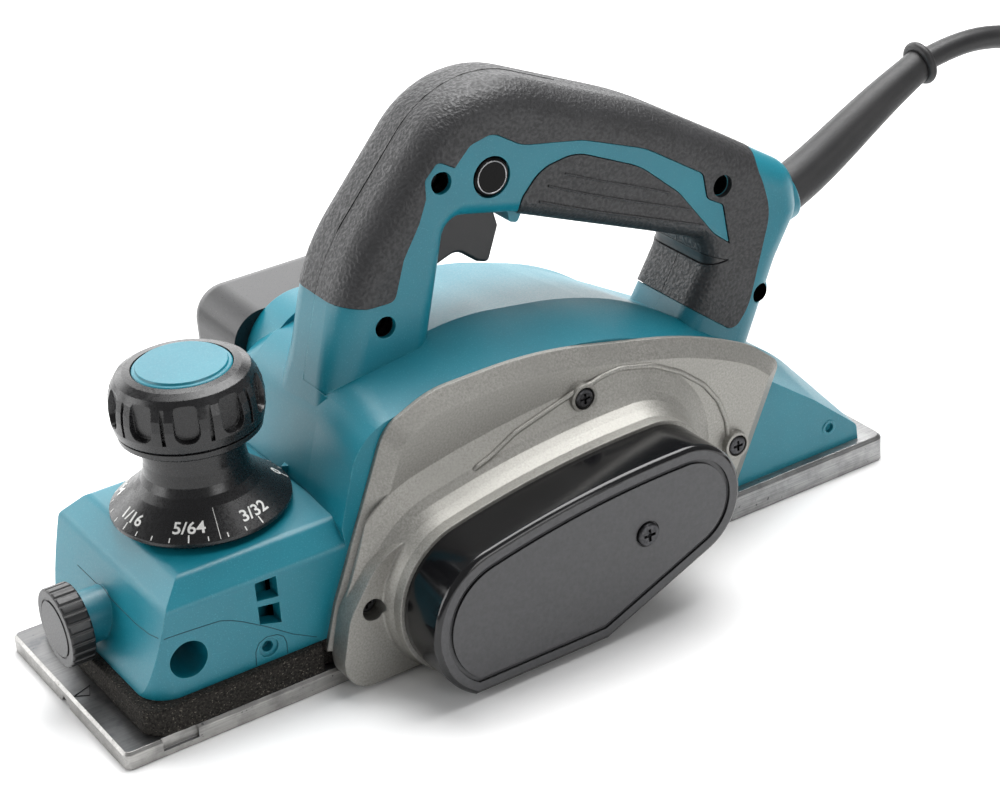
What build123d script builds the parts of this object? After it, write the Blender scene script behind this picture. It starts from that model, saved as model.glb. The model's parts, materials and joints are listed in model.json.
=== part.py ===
from build123d import *
from math import atan2, cos, degrees, pi, radians, sin
import os

# Electric hand planer, all sizes in millimetres.
# Origin: on the sole, below the cutter drum's axis, at mid-width.
# +X points to the rear, +Y to the chip outlet side, +Z up. The belt side is -Y.

os.makedirs("parts", exist_ok=True)

# ---- Sole, shoe and base ----
FRONT_X = -110.0
REAR_X = 175.0
SOLE_HALF = 41.0
SHOE_T = 5.6
BASE_T = 9.0
SHOE_LIFT = 2.5

# ---- Cutter drum and its chamber ----
DRUM_Z = 25.0
TIP_R = 24.9
DRUM_R = 22.5
DRUM_HALF = 40.5
CHAMBER_R = 27.5
CHAMBER_HALF = 41.6
THROAT_R = 26.5
SHAFT_R = 4.0
BEARING_BORE_R = SHAFT_R + 0.05

# ---- Motor ----
MOTOR_X = 67.0
MOTOR_Z = 36.5
STATOR_R = 26.0
CORE_R = 14.6
STATOR_BORE_R = 15.2
CORE_Y0 = -14.0
CORE_Y1 = 14.0

# ---- Belt drive, ratio 10 : 17.5 ----
DRIVE_R = 10.0
DRIVEN_R = 17.5
BELT_T = 2.2
BELT_GAP = 0.12
PULLEY_Y0 = -58.0
PULLEY_Y1 = -70.0

# ---- Body shell ----
BODY_HALF = 37.0
WALL = 3.0
BLOCK_BOTTOM = 14.5
BLOCK_TOP = 50.0
BLOCK_FRONT = -98.0
BLOCK_REAR = -22.0
GUIDE_X = -84.5
GUIDE_Z = 25.8
GUIDE_R = 6.0
NOSE_END = -77.0
ROOM_FRONT = -75.5
ROOM_REAR = -33.2
FRONT_END = -31.2
OUTLET_X = 2.5
OUTLET_Z = 68.0
OUTLET_R = 16.0
COLLAR_R = 20.0
COLLAR_END = 43.4

# ---- Depth knob ----
KNOB_X = -58.0
HUB_R = 9.0
NUT_R = 6.5
STUD_R = 4.0

# ---- Clamp screw ----
CLAMP_Y = 2.0
CLAMP_Z = 26.6
CLAMP_TRAVEL = 3.0

# ---- Handle ----
HANDLE_HALF = 17.0
HANDLE_ROUND = 10.0
SHELL_T = 3.4
GRIP_T = 1.6
GRIP_PROUD = 0.4
GRIP_GAP = 0.25
PIVOT_X = 19.0
PIVOT_Z = 119.0
LOCK_X = 41.7
LOCK_Z = 133.6
LOCK_R = 6.2
HANDLE_SCREWS = [(24.3, 136.6), (1.0, 97.0), (127.0, 106.2), (142.1, 63.4)]

# ---- Bracket and belt cover ----
PLATE_BACK = -37.0
PLATE_FACE = -42.0
PLATE_BOTTOM = 11.0
BOSS_FACE = -57.0
COVER_FACE = -75.0
COVER_T = 2.0
COVER_SCREW = (51.5, 33.1)
BRACKET_SCREWS = [(52.0, 66.5), (-29.7, 26.3), (109.6, 29.5)]
BASE_SCREWS = [(36.0, 28.0), (36.0, -28.0), (148.0, 26.0), (148.0, -26.0)]

# ---- Cord: a guard, a free run down to the floor, a coil and a plug ----
CORD_R = 4.0
GUARD_PATH = [(152, 84.3), (163.5, 87.2), (176, 92.2), (194.4, 101.9), (212, 111.2), (227, 118)]
GUARD_RADII = [8.0, 8.0, 7.7, 7.0, 6.1, 5.6]
CORD_ROUTE = [
    (227, 0, 118),
    (241, 0, 120.8),
    (262, 0, 118.6),
    (284.5, 0.8, 110),
    (305, 1.5, 96),
    (322.5, 1.5, 78.5),
    (337, -0.5, 58),
    (349, -6, 38),
    (359.5, -16.5, 21.5),
    (367, -31, 10.3),
    (371.2, -48, 4.9),
    (372.5, -64, 4.05),
    (372.5, -79, 4.05),
]
COIL_MID_R = 60.0
COIL_OUTER = COIL_MID_R + CORD_R + 0.3
COIL_INNER = 27.7
COIL_HEIGHT = 16.4
COIL_X = CORD_ROUTE[-1][0] - COIL_MID_R
COIL_Y = -113.0
TAIL_TURN = -111.6
TAIL_Z = 12.1
TAIL_LENGTH = 34.0

# Outlines as (x, z, corner radius)
DOME_HIGH = [
    (-27, 9, 0), (-29, 51, 0), (-19, 84, 20), (30, 90, 80), (66, 84.5, 120),
    (90, 76.5, 100), (150, 37, 60), (165.5, 20, 8), (166, 9, 0),
]
DOME_FAR = [
    (-27, 9, 0), (-29, 51, 0), (-19, 82, 20), (26, 89, 60), (58, 85, 90),
    (86, 73, 100), (150, 36, 60), (165.5, 20, 8), (166, 9, 0),
]
DOME_LOW = [
    (-27, 9, 0), (-31, 49, 0), (-22.5, 77, 18), (26, 84.5, 80), (66, 80, 100),
    (92, 70.5, 90), (148, 29.5, 60), (165.5, 14.5, 3), (166, 9, 0),
]
HANDLE_OUTER = [
    (-29, 46, 14), (-9.8, 115.5, 60), (37.6, 167.6, 35), (105, 137.3, 150),
    (160.5, 102, 13), (162, 87, 11), (152.5, 72, 30), (136, 36, 14),
]
HANDLE_LOOP = [
    (12, 68, 3), (26.5, 124, 6), (50, 118.5, 12), (120.5, 89, 5), (122, 79, 8), (106, 54, 3),
]
BRACKET_OUTLINE = [
    (-44.5, 1, 3), (-36.5, 26, 20), (-14.5, 77, 14), (2, 84, 30), (40, 84.5, 150),
    (98, 71, 150), (121, 59.5, 40), (132, 50, 4), (108, 1, 4),
]
LOBE_OUTLINE = [(-41, 12, 1), (-41, 1, 9), (2, 1, 3), (2, 45, 3), (-24, 45, 20), (-37.5, 26, 12)]
TONGUE_REGION = [
    (-60, 220), (-60, 84), (-22, 84), (-19, 79), (-9, 73), (17, 70), (60, 60), (200, 20), (220, 220),
]
GRIP_OUTER = [
    (-40, 106, 0), (-12, 106, 0), (-4.3, 104.5, 3), (5, 104.2, 3), (9.3, 116.5, 8),
    (15.5, 126, 0), (18.6, 133, 0), (19.2, 138.5, 2), (24, 143.2, 2), (29.2, 140, 0),
    (35, 145.5, 4), (43, 147.2, 6), (53, 140.6, 14), (75, 136.2, 30), (98, 127, 30),
    (119.5, 112.5, 3), (120.8, 103.5, 3), (127, 99.8, 2), (129, 86, 0), (123.5, 90.6, 15),
    (110, 109, 20), (95.5, 122, 30), (72, 133.2, 16), (59, 131.5, 14), (50.5, 123, 5),
    (52, 117.2, 3), (80, 100, 0), (128, 80, 0), (100, 76.5, 0), (103, 75, 2),
    (130, 53.6, 4), (136.5, 60.5, 20), (146.5, 92, 20), (142, 108.5, 8), (150, 125, 0),
    (90, 190, 0), (-40, 190, 0),
]


def side_plane(y):
    """XZ plane at y. Local x is +X, local y is +Z, and the normal is -Y."""
    return Plane.XZ.offset(-y)


def shaft_plane(x, z, y):
    """Plane square to a cross shaft at (x, z), starting at y, normal -Y."""
    return Plane((x, y, z), x_dir=(1, 0, 0), z_dir=(0, -1, 0))


def outline(corners, mode=Mode.ADD):
    """Add a closed outline of (u, v, corner radius) to the current sketch."""
    with BuildLine() as edge:
        FilletPolyline(*[c[:2] for c in corners], radius=[c[2] for c in corners], close=True)
    make_face(edge.edges(), mode=mode)


def sharp(points):
    """Give plain points a corner radius of zero."""
    return [(u, v, 0) for u, v in points]


def y_prism(corners, y_low, y_high):
    """Solid with an XZ outline between two y values."""
    with BuildPart() as prism:
        with BuildSketch(side_plane(y_high)):
            outline(corners)
        extrude(amount=y_high - y_low)
    return prism.part


def y_rod(x, z, radius, y_low, y_high):
    """Round bar along Y."""
    with BuildPart() as rod:
        with BuildSketch(shaft_plane(x, z, y_high)):
            Circle(radius)
        extrude(amount=y_high - y_low)
    return rod.part


def y_ring(x, z, outer, inner, y_low, y_high):
    """Ring whose axis runs along Y."""
    with BuildPart() as ring:
        with BuildSketch(shaft_plane(x, z, y_high)):
            Circle(outer)
            Circle(inner, mode=Mode.SUBTRACT)
        extrude(amount=y_high - y_low)
    return ring.part


def z_rod(x, y, radius, z_low, z_high):
    """Round bar along Z."""
    with BuildPart() as rod:
        with BuildSketch(Plane.XY.offset(z_low)):
            with Locations((x, y)):
                Circle(radius)
        extrude(amount=z_high - z_low)
    return rod.part


def block(x0, x1, y0, y1, z0, z1):
    """Box between two corners."""
    with BuildPart() as box:
        with Locations(((x0 + x1) / 2, (y0 + y1) / 2, (z0 + z1) / 2)):
            Box(x1 - x0, y1 - y0, z1 - z0)
    return box.part


def keep(builder, label):
    """Label a finished sub-part and write its STEP file."""
    builder.part.label = label
    export_step(builder.part, f"parts/{label}.step")
    return builder.part


# ---- Shared body forms ----


def front_block():
    """Hollow front block: leaning front face, sloped top corners."""
    side = [
        (BLOCK_FRONT, BLOCK_BOTTOM, 0), (-89.5, 43.5, 6), (-82, BLOCK_TOP, 4),
        (BLOCK_REAR, BLOCK_TOP, 0), (BLOCK_REAR, BLOCK_BOTTOM, 0),
    ]
    end = [
        (-BODY_HALF, BLOCK_BOTTOM, 0), (-BODY_HALF, 43, 3), (-30.5, BLOCK_TOP, 3),
        (30.5, BLOCK_TOP, 3), (BODY_HALF, 43, 3), (BODY_HALF, BLOCK_BOTTOM, 0),
    ]
    with BuildPart() as body:
        with BuildSketch(side_plane(BODY_HALF)):
            outline(side)
        extrude(amount=2 * BODY_HALF)
        with BuildSketch(Plane.YZ.offset(-120)):
            outline(end)
        extrude(amount=120, mode=Mode.INTERSECT)
        with BuildSketch(Plane.XY):
            with BuildLine():
                FilletPolyline(
                    (0, -BODY_HALF), (BLOCK_FRONT, -BODY_HALF), (BLOCK_FRONT, BODY_HALF),
                    (0, BODY_HALF), radius=[0, 10, 10, 0], close=True,
                )
            make_face()
        extrude(amount=60, mode=Mode.INTERSECT)
    return body.part


def body_dome():
    """Drum and motor housing, bevelled towards both sides."""
    sections = [
        (BODY_HALF, DOME_LOW), (31.0, DOME_FAR), (-12.0, DOME_HIGH), (-BODY_HALF, DOME_LOW),
    ]
    with BuildPart() as dome:
        for y, corners in sections:
            with BuildSketch(side_plane(y)):
                outline(corners)
        loft(ruled=True)
    return dome.part


def column_flare():
    """Concave foot that spreads the handle's front column onto the body."""
    sections = [
        (46.0, -30.0, 34.0, 31.0), (60.0, -26.0, 28.0, 23.0),
        (74.0, -21.6, 22.0, 18.4), (90.0, -16.6, 17.0, 16.4),
    ]
    with BuildPart() as flare:
        for z, x0, x1, half in sections:
            with BuildSketch(Plane.XY.offset(z)):
                with Locations(((x0 + x1) / 2, 0)):
                    RectangleRounded(x1 - x0, 2 * half, 9)
        loft()
    return flare.part


def handle_half(side, grow=0.0, half_width=HANDLE_HALF, rounding=HANDLE_ROUND):
    """One half of the closed handle loop, from the seam at y = 0 to its side."""
    with BuildPart() as half:
        with BuildSketch(Plane.XZ):
            outline(HANDLE_OUTER)
            outline(HANDLE_LOOP, mode=Mode.SUBTRACT)
            if grow:
                offset(amount=grow, kind=Kind.ARC)
        extrude(amount=-side * half_width)
        face = half.faces().sort_by(Axis.Y)[-1 if side > 0 else 0]
        fillet(face.outer_wire().edges().filter_by(lambda e: e.center().Z > 55), rounding)
        face = half.faces().sort_by(Axis.Y)[-1 if side > 0 else 0]
        fillet(face.inner_wires()[0].edges(), rounding - 4)
    return half.part


def handle_cavity(side):
    """Hollow of one handle half, closed off above the chip duct."""
    with BuildPart() as cavity:
        add(handle_half(side, grow=-SHELL_T, half_width=HANDLE_HALF - SHELL_T, rounding=7))
        add(block(-60, 50, -40, 40, 0, 89), mode=Mode.SUBTRACT)
    return cavity.part


def grip_pocket(side):
    """Room that the rubber overmould takes in one handle half."""
    with BuildPart() as pocket:
        add(y_prism(GRIP_OUTER, min(0, side * 30), max(0, side * 30)))
        add(handle_half(side, -GRIP_T, HANDLE_HALF - GRIP_T, HANDLE_ROUND - 1), mode=Mode.SUBTRACT)
    return pocket.part


def lower_body_left():
    """Everything of the main housing that the left handle cover sits against."""
    with BuildPart() as lower:
        add(body_dome())
        add(column_flare())
        add(y_prism(sharp(TONGUE_REGION), -40, 0), mode=Mode.SUBTRACT)
        add(body_dome())
    return lower.part


# ---- Housing ----


def housing_moulding(lower_left):
    """The whole right half of the housing, before it is divided into nodes."""
    with BuildPart() as moulding:
        add(front_block())
        add(lower_left)
        add(handle_half(1))
        add(cord_sleeve(1))
        # Chip outlet collar, drum bearing housing and hood lugs on the +Y side
        add(y_ring(OUTLET_X, OUTLET_Z, COLLAR_R, OUTLET_R - 2, 30, COLLAR_END))
        add(y_rod(0, DRUM_Z, CHAMBER_R + 1, 30, COLLAR_END))
        add(y_rod(0, DRUM_Z, 15, 30, 51))
        add(z_rod(0, 40, 40, -20, 1), mode=Mode.SUBTRACT)
        # Motor room and stator cradle
        room = [
            (31, 11, 2), (31, 76, 6), (60, 79, 20), (88, 69, 20), (146, 31, 10), (160, 16, 3), (160, 11, 0),
        ]
        add(y_prism(room, -BODY_HALF + WALL, BODY_HALF - WALL), mode=Mode.SUBTRACT)
        add(y_ring(MOTOR_X, MOTOR_Z, STATOR_R + 3, STATOR_R, -16, 16))
        add(y_rod(MOTOR_X, MOTOR_Z, STATOR_R, -16, 16), mode=Mode.SUBTRACT)
        add(y_rod(MOTOR_X, MOTOR_Z, 25, -BODY_HALF - 5, -30), mode=Mode.SUBTRACT)
        add(y_ring(MOTOR_X, MOTOR_Z, 13, 9.5, 30.5, BODY_HALF - 1))
        add(y_rod(MOTOR_X, MOTOR_Z, 9.5, 28, BODY_HALF - 1), mode=Mode.SUBTRACT)
        add(block(20, 170, -60, 60, -5, BASE_T), mode=Mode.SUBTRACT)
        for x, y in BASE_SCREWS:
            add(z_rod(x, y, 5, BASE_T, 26))
            add(z_rod(x, y, 1.9, BASE_T - 1, 23), mode=Mode.SUBTRACT)
        # Drum chamber, open to the mouth, and the chip duct
        add(y_rod(0, DRUM_Z, CHAMBER_R, -45, CHAMBER_HALF), mode=Mode.SUBTRACT)
        add(y_rod(0, DRUM_Z, 11, CHAMBER_HALF - 1, 49.3), mode=Mode.SUBTRACT)
        add(y_rod(OUTLET_X, OUTLET_Z, OUTLET_R, -22, 60), mode=Mode.SUBTRACT)
        add(block(-11, 16, -32, 32, 44, 62), mode=Mode.SUBTRACT)
        add(block(-60, 12, -CHAMBER_HALF, CHAMBER_HALF, 0, BLOCK_BOTTOM), mode=Mode.SUBTRACT)
        # Front block: shoe room, guide pin sleeves, knob hub, guide and clamp bores
        add(block(ROOM_FRONT, ROOM_REAR, -32, 32, BLOCK_BOTTOM - 1, 42), mode=Mode.SUBTRACT)
        for y in (-22, 22):
            add(z_rod(KNOB_X, y, 6.5, 22, 43))
            add(z_rod(KNOB_X, y, STUD_R + 0.06, 20, 42), mode=Mode.SUBTRACT)
        add(z_rod(KNOB_X, 0, HUB_R + 0.08, 40, 55), mode=Mode.SUBTRACT)
        add(y_rod(GUIDE_X, GUIDE_Z, GUIDE_R, -50, 50), mode=Mode.SUBTRACT)
        with Locations(Location((-101.2, CLAMP_Y, CLAMP_Z), (0, 90, 0))):
            Cylinder(8.2, 10, align=(Align.CENTER, Align.CENTER, Align.MIN))
        add(y_rod(GUIDE_X, GUIDE_Z, GUIDE_R, -50, 50), mode=Mode.SUBTRACT)
        with Locations(Location((-102, CLAMP_Y, CLAMP_Z), (0, 90, 0))):
            Cylinder(2.56, 16, align=(Align.CENTER, Align.CENTER, Align.MIN), mode=Mode.SUBTRACT)
        # Side windows, boss hole and depth pointer
        add(y_prism(sharp([(-61, 36), (-61, 42), (-54, 42), (-54, 35)]), -45, -30), mode=Mode.SUBTRACT)
        add(y_prism(sharp([(-61, 28), (-61, 34), (-54, 33), (-54, 26)]), -45, -30), mode=Mode.SUBTRACT)
        add(y_rod(-59.2, 19.4, 3.2, -40, -36.2), mode=Mode.SUBTRACT)
        add(y_rod(-59.2, 19.4, 1.8, -40, -33), mode=Mode.SUBTRACT)
        with BuildSketch(Plane.XY.offset(BLOCK_TOP - 1)):
            with BuildLine():
                Polyline((-30.2, 0.7), (-26, 4.2), (-24, -2.8), close=True)
            make_face()
        extrude(amount=4.5)
        # Handle hollow, overmould pocket, trigger slot and cord exit
        add(handle_cavity(1), mode=Mode.SUBTRACT)
        add(grip_pocket(1), mode=Mode.SUBTRACT)
        for x, z in HANDLE_SCREWS:
            add(y_rod(x, z, 4.6, 0, HANDLE_HALF - GRIP_T - 0.5))
            add(y_rod(x, z, 1.6, -1, 11), mode=Mode.SUBTRACT)
        cut_handle_openings()
        add(y_prism(TRIGGER_LIP, 0, 9))
        for x, z in BRACKET_SCREWS:
            add(y_rod(x, z, 1.8, -50, -33.5), mode=Mode.SUBTRACT)
        # Ringed blind hole low on the rear of the belt side
        add(y_rod(153.5, 17.5, 2.6, -45, -35.8), mode=Mode.SUBTRACT)
        add(y_ring(153.5, 17.5, 2.6, 1.7, -37.3, -35.0))
    return moulding.part


def housing_regions():
    """Parts of the moulding that are nodes of their own, so that collision can follow each."""
    with BuildPart() as handle:
        add(y_prism(sharp(TONGUE_REGION), 0, HANDLE_HALF + 4))
        add(body_dome(), mode=Mode.SUBTRACT)
    return {
        "guide_nose": block(-120, NOSE_END, -60, 60, -5, 60),
        "front_block": block(NOSE_END, FRONT_END, -60, 60, -5, 60),
        "handle_housing": handle.part,
    }


def make_housing_nodes(moulding):
    regions = housing_regions()
    for label, region in regions.items():
        with BuildPart() as node:
            add(moulding)
            add(region, mode=Mode.INTERSECT)
        keep(node, label)
    with BuildPart() as main_housing:
        add(moulding)
        for region in regions.values():
            add(region, mode=Mode.SUBTRACT)
    return keep(main_housing, "main_housing")


def cut_handle_openings():
    """Trigger slot, pivot bores and cord exit, cut from the current part."""
    add(y_prism(sharp(TRIGGER_SLOT), -8.6, 8.6), mode=Mode.SUBTRACT)
    add(y_rod(PIVOT_X, PIVOT_Z, 1.5, -12.4, 12.4), mode=Mode.SUBTRACT)
    for (x0, z0), (x1, z1) in (GUARD_PATH[:2], GUARD_PATH[1:3]):
        with Locations(Plane((x0, 0, z0), z_dir=(x1 - x0, 0, z1 - z0)).location):
            with Locations((0, 0, -3)):
                Cylinder(GUARD_RADII[0] + 0.35, 20, align=(Align.CENTER, Align.CENTER, Align.MIN), mode=Mode.SUBTRACT)


def cord_sleeve(side):
    """Half of the round sleeve at the rear of the handle, around the cord guard."""
    with BuildPart() as sleeve:
        with Locations(Plane((164, 0, 89.6), z_dir=(cos(radians(15)), 0, sin(radians(15)))).location):
            Cylinder(11, 18, align=(Align.CENTER, Align.CENTER, Align.MAX))
        fillet(sleeve.edges().sort_by(Axis.X)[-1], 1.2)
        add(block(100, 200, min(0, side * 30), max(0, side * 30), 40, 140), mode=Mode.INTERSECT)
    return sleeve.part


TRIGGER_LIP = [(51, 121, 0), (51.6, 113.5, 1), (54.5, 112.5, 1.2), (57, 117, 0)]
TRIGGER_SLOT = [(9, 112), (27, 102), (50.2, 102), (50.2, 122), (46, 130), (9, 130)]


def make_handle_cover(lower_left):
    with BuildPart() as handle_cover:
        add(handle_half(-1))
        add(cord_sleeve(-1))
        add(lower_left, mode=Mode.SUBTRACT)
        add(front_block(), mode=Mode.SUBTRACT)
        add(y_prism(sharp(TONGUE_REGION), -40, 0), mode=Mode.INTERSECT)
        add(handle_cavity(-1), mode=Mode.SUBTRACT)
        add(grip_pocket(-1), mode=Mode.SUBTRACT)
        for x, z in HANDLE_SCREWS:
            add(y_rod(x, z, 4.9, -HANDLE_HALF + SHELL_T, 0))
            add(y_rod(x, z, 3.5, -20, -8), mode=Mode.SUBTRACT)
            add(y_rod(x, z, 1.7, -20, 1), mode=Mode.SUBTRACT)
        add(y_rod(LOCK_X, LOCK_Z, LOCK_R + 0.35, -30, -5), mode=Mode.SUBTRACT)
        cut_handle_openings()
        add(y_prism(TRIGGER_LIP, -9, 0))
    return keep(handle_cover, "handle_cover")


def make_grip(side, name):
    """Rubber overmould of one handle half, with its screw holes and side ribs."""
    low, high = min(0.1 * side, side * 30), max(0.1 * side, side * 30)
    with BuildPart() as region:
        with BuildSketch(side_plane(high)):
            outline(GRIP_OUTER)
            offset(amount=-GRIP_GAP, kind=Kind.INTERSECTION)
        extrude(amount=high - low)
    with BuildPart() as grip:
        add(handle_half(side, GRIP_PROUD, HANDLE_HALF + GRIP_PROUD, HANDLE_ROUND + 0.4))
        add(region.part, mode=Mode.INTERSECT)
        add(handle_half(side, -GRIP_T, HANDLE_HALF - GRIP_T, HANDLE_ROUND - 1), mode=Mode.SUBTRACT)
        add(y_prism(TRIGGER_LIP, -9, 9), mode=Mode.SUBTRACT)
        if side < 0:
            for x, z in HANDLE_SCREWS:
                add(y_rod(x, z, 3.7, -30, 0), mode=Mode.SUBTRACT)
            add(y_rod(LOCK_X, LOCK_Z, LOCK_R + 1.2, -30, 0), mode=Mode.SUBTRACT)
    return keep(grip, name)




# ---- Belt side: bracket and cover ----


def cover_outline(grow=0.0, mode=Mode.ADD):
    """Belt cover outline: a lobe round each pulley, widened by grow."""
    with BuildLine() as edge:
        ThreePointArc((-12, 2), (-24.1, 24), (-3.5, 48.5))
        ThreePointArc((-3.5, 48.5), (30, 54.3), (66, 56.4))
        ThreePointArc((66, 56.4), (86.9, 37), (74.5, 18.2))
        Line((74.5, 18.2), (35.5, 2))
        Line((35.5, 2), (-12, 2))
    with BuildSketch(Plane.XY, mode=Mode.PRIVATE) as shape:
        make_face(edge.edges())
        if grow:
            offset(amount=grow, kind=Kind.ARC)
    add(shape.sketch, mode=mode)


def cover_prism(grow, y_low, y_high):
    """Solid with the belt cover's outline between two y values."""
    with BuildPart() as prism:
        with BuildSketch(side_plane(y_high)):
            cover_outline(grow)
        extrude(amount=y_high - y_low)
    return prism.part


def cover_flare():
    """Concave foot that spreads the cover's outline onto the bracket plate."""
    steps = [(13.5, -41.8, -43.3), (9.5, -43.3, -44.8), (6.2, -44.8, -46.8), (4, -46.8, -49.5), (2.4, -49.5, -53)]
    with BuildPart() as flare:
        add(cover_prism(1.2, BOSS_FACE, PLATE_FACE))
        for grow, y_high, y_low in steps:
            with BuildSketch(side_plane(y_high)):
                cover_outline(grow)
            extrude(amount=y_high - y_low, taper=flare_taper(grow, y_high - y_low))
    return flare.part


def flare_taper(grow, height):
    """Taper in degrees that brings one step of the flare down to the next."""
    following = {13.5: 9.5, 9.5: 6.2, 6.2: 4.0, 4.0: 2.4, 2.4: 1.2}[grow]
    return degrees(atan2(grow - following, height))


def make_bracket():
    with BuildPart() as bracket:
        with BuildSketch(side_plane(PLATE_BACK)):
            outline(BRACKET_OUTLINE)
        extrude(amount=1.4)
        with BuildSketch(side_plane(PLATE_BACK - 1.4)):
            outline(BRACKET_OUTLINE)
        extrude(amount=PLATE_BACK - 1.4 - PLATE_FACE, taper=57)
        add(block(-60, 150, -70, -30, -10, PLATE_BOTTOM), mode=Mode.SUBTRACT)
        add(y_prism(LOBE_OUTLINE, -49, -41.3))
        with BuildPart(mode=Mode.PRIVATE) as room:
            add(y_prism(BRACKET_OUTLINE, -60, PLATE_BACK))
            add(block(-60, 150, -70, -30, -10, PLATE_BOTTOM), mode=Mode.SUBTRACT)
            add(y_prism(LOBE_OUTLINE, -60, -41.3))
        with BuildPart(mode=Mode.PRIVATE) as foot:
            add(cover_flare())
            add(room.part, mode=Mode.INTERSECT)
        add(foot.part)
        add(block(-60, 150, -70, -30, -10, 1), mode=Mode.SUBTRACT)
        # Dished inside, with bosses for the bearings and the cover screw
        add(cover_prism(-2.2, -60, -51.5), mode=Mode.SUBTRACT)
        add(y_rod(0, DRUM_Z, 12.5, -55.5, -48))
        add(y_rod(MOTOR_X, MOTOR_Z, 9.0, -55.5, -48))
        add(y_rod(*COVER_SCREW, 3.4, COVER_FACE + COVER_T, -48))
        # Drum end recess, bearing seats, shaft holes and screw holes
        add(y_rod(0, DRUM_Z, 27, -41.4, -30), mode=Mode.SUBTRACT)
        add(y_rod(0, DRUM_Z, 11, -48.6, -30), mode=Mode.SUBTRACT)
        add(y_rod(MOTOR_X, MOTOR_Z, 11, -48.2, -30), mode=Mode.SUBTRACT)
        add(y_rod(0, DRUM_Z, 6, -60, -30), mode=Mode.SUBTRACT)
        add(y_rod(MOTOR_X, MOTOR_Z, 6, -60, -30), mode=Mode.SUBTRACT)
        add(y_rod(*COVER_SCREW, 1.6, -80, -50), mode=Mode.SUBTRACT)
        for x, z in BRACKET_SCREWS:
            add(y_rod(x, z, 4.6, -44.5, -40))
            add(y_rod(x, z, 1.9, -60, -30), mode=Mode.SUBTRACT)
            add(y_rod(x, z, 3.6, -60, -42.3), mode=Mode.SUBTRACT)
    return keep(bracket, "belt_bracket")


def make_belt_cover():
    with BuildPart() as belt_cover:
        add(cover_prism(0, COVER_FACE, BOSS_FACE))
        rim = belt_cover.faces().sort_by(Axis.Y)[0]
        fillet(rim.edges(), 1.8)
        add(cover_prism(-COVER_T, COVER_FACE + COVER_T, -50), mode=Mode.SUBTRACT)
        # Raised rim with a groove around the inset face
        with BuildSketch(side_plane(COVER_FACE + 0.9)):
            cover_outline(-4.2)
            cover_outline(-5.6, mode=Mode.SUBTRACT)
        extrude(amount=2, mode=Mode.SUBTRACT)
        add(y_rod(*COVER_SCREW, 4.2, -80, COVER_FACE + 0.6), mode=Mode.SUBTRACT)
        add(y_rod(*COVER_SCREW, 1.75, -80, -50), mode=Mode.SUBTRACT)
    return keep(belt_cover, "belt_cover")


def screw(x, z, head_r, head_y, head_h, shank_r, tip_y):
    """Pan-head screw along +Y whose head top is at head_y."""
    with BuildPart() as body:
        add(y_rod(x, z, head_r, head_y, head_y + head_h))
        fillet(body.edges().filter_by(GeomType.CIRCLE).sort_by(Axis.Y)[0], head_h * 0.45)
        add(y_rod(x, z, shank_r, head_y + head_h, tip_y))
        with Locations((x, head_y + 0.5, z)):
            Box(head_r * 1.1, 1.2, head_r * 0.26, mode=Mode.SUBTRACT)
            Box(head_r * 0.26, 1.2, head_r * 1.1, mode=Mode.SUBTRACT)
    return body.part


def make_screws(name, places, head_r, head_y, head_h, shank_r, tip_y):
    """A set of equal screws along +Y, kept as one node."""
    with BuildPart() as screws:
        for x, z in places:
            add(screw(x, z, head_r, head_y, head_h, shank_r, tip_y))
    return keep(screws, name)


def make_base_screws():
    """Countersunk screws that hold the rear base, driven from below."""
    with BuildPart() as base_screws:
        for x, y in BASE_SCREWS:
            with Locations((x, y, 0.4)):
                Cone(3.6, 1.9, 2.2, align=(Align.CENTER, Align.CENTER, Align.MIN))
            add(z_rod(x, y, 1.9, 2.6, 21))
            add(block(x - 2.4, x + 2.4, y - 0.45, y + 0.45, 0.4, 1.2), mode=Mode.SUBTRACT)
            add(block(x - 0.45, x + 0.45, y - 2.4, y + 2.4, 0.4, 1.2), mode=Mode.SUBTRACT)
    return keep(base_screws, "base_screws")


# ---- Sole ----


def make_rear_base():
    with BuildPart() as rear_base:
        with BuildSketch(Plane.XY):
            with BuildLine():
                FilletPolyline(
                    (15, -SOLE_HALF), (REAR_X, -SOLE_HALF), (REAR_X, SOLE_HALF), (15, SOLE_HALF),
                    radius=[0, 4, 4, 0], close=True,
                )
            make_face()
        extrude(amount=BASE_T)
        add(y_rod(0, DRUM_Z, THROAT_R, -60, 60), mode=Mode.SUBTRACT)
        add(y_rod(0, DRUM_Z, CHAMBER_R + 1.1, 29, 60), mode=Mode.SUBTRACT)
        add(block(0, 22, -60, 60, 4, 20), mode=Mode.SUBTRACT)
        top = rear_base.faces().sort_by(Axis.Z)[-1]
        chamfer(top.edges().filter_by(lambda e: abs(e.center().Y) > 40 or e.center().X > 170), 1.2)
        for x, y in BASE_SCREWS:
            add(z_rod(x, y, 2.0, -1, 12), mode=Mode.SUBTRACT)
            with Locations((x, y, 0)):
                Cone(4.1, 2.0, 2.5, align=(Align.CENTER, Align.CENTER, Align.MIN), mode=Mode.SUBTRACT)
    return keep(rear_base, "rear_base")


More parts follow.
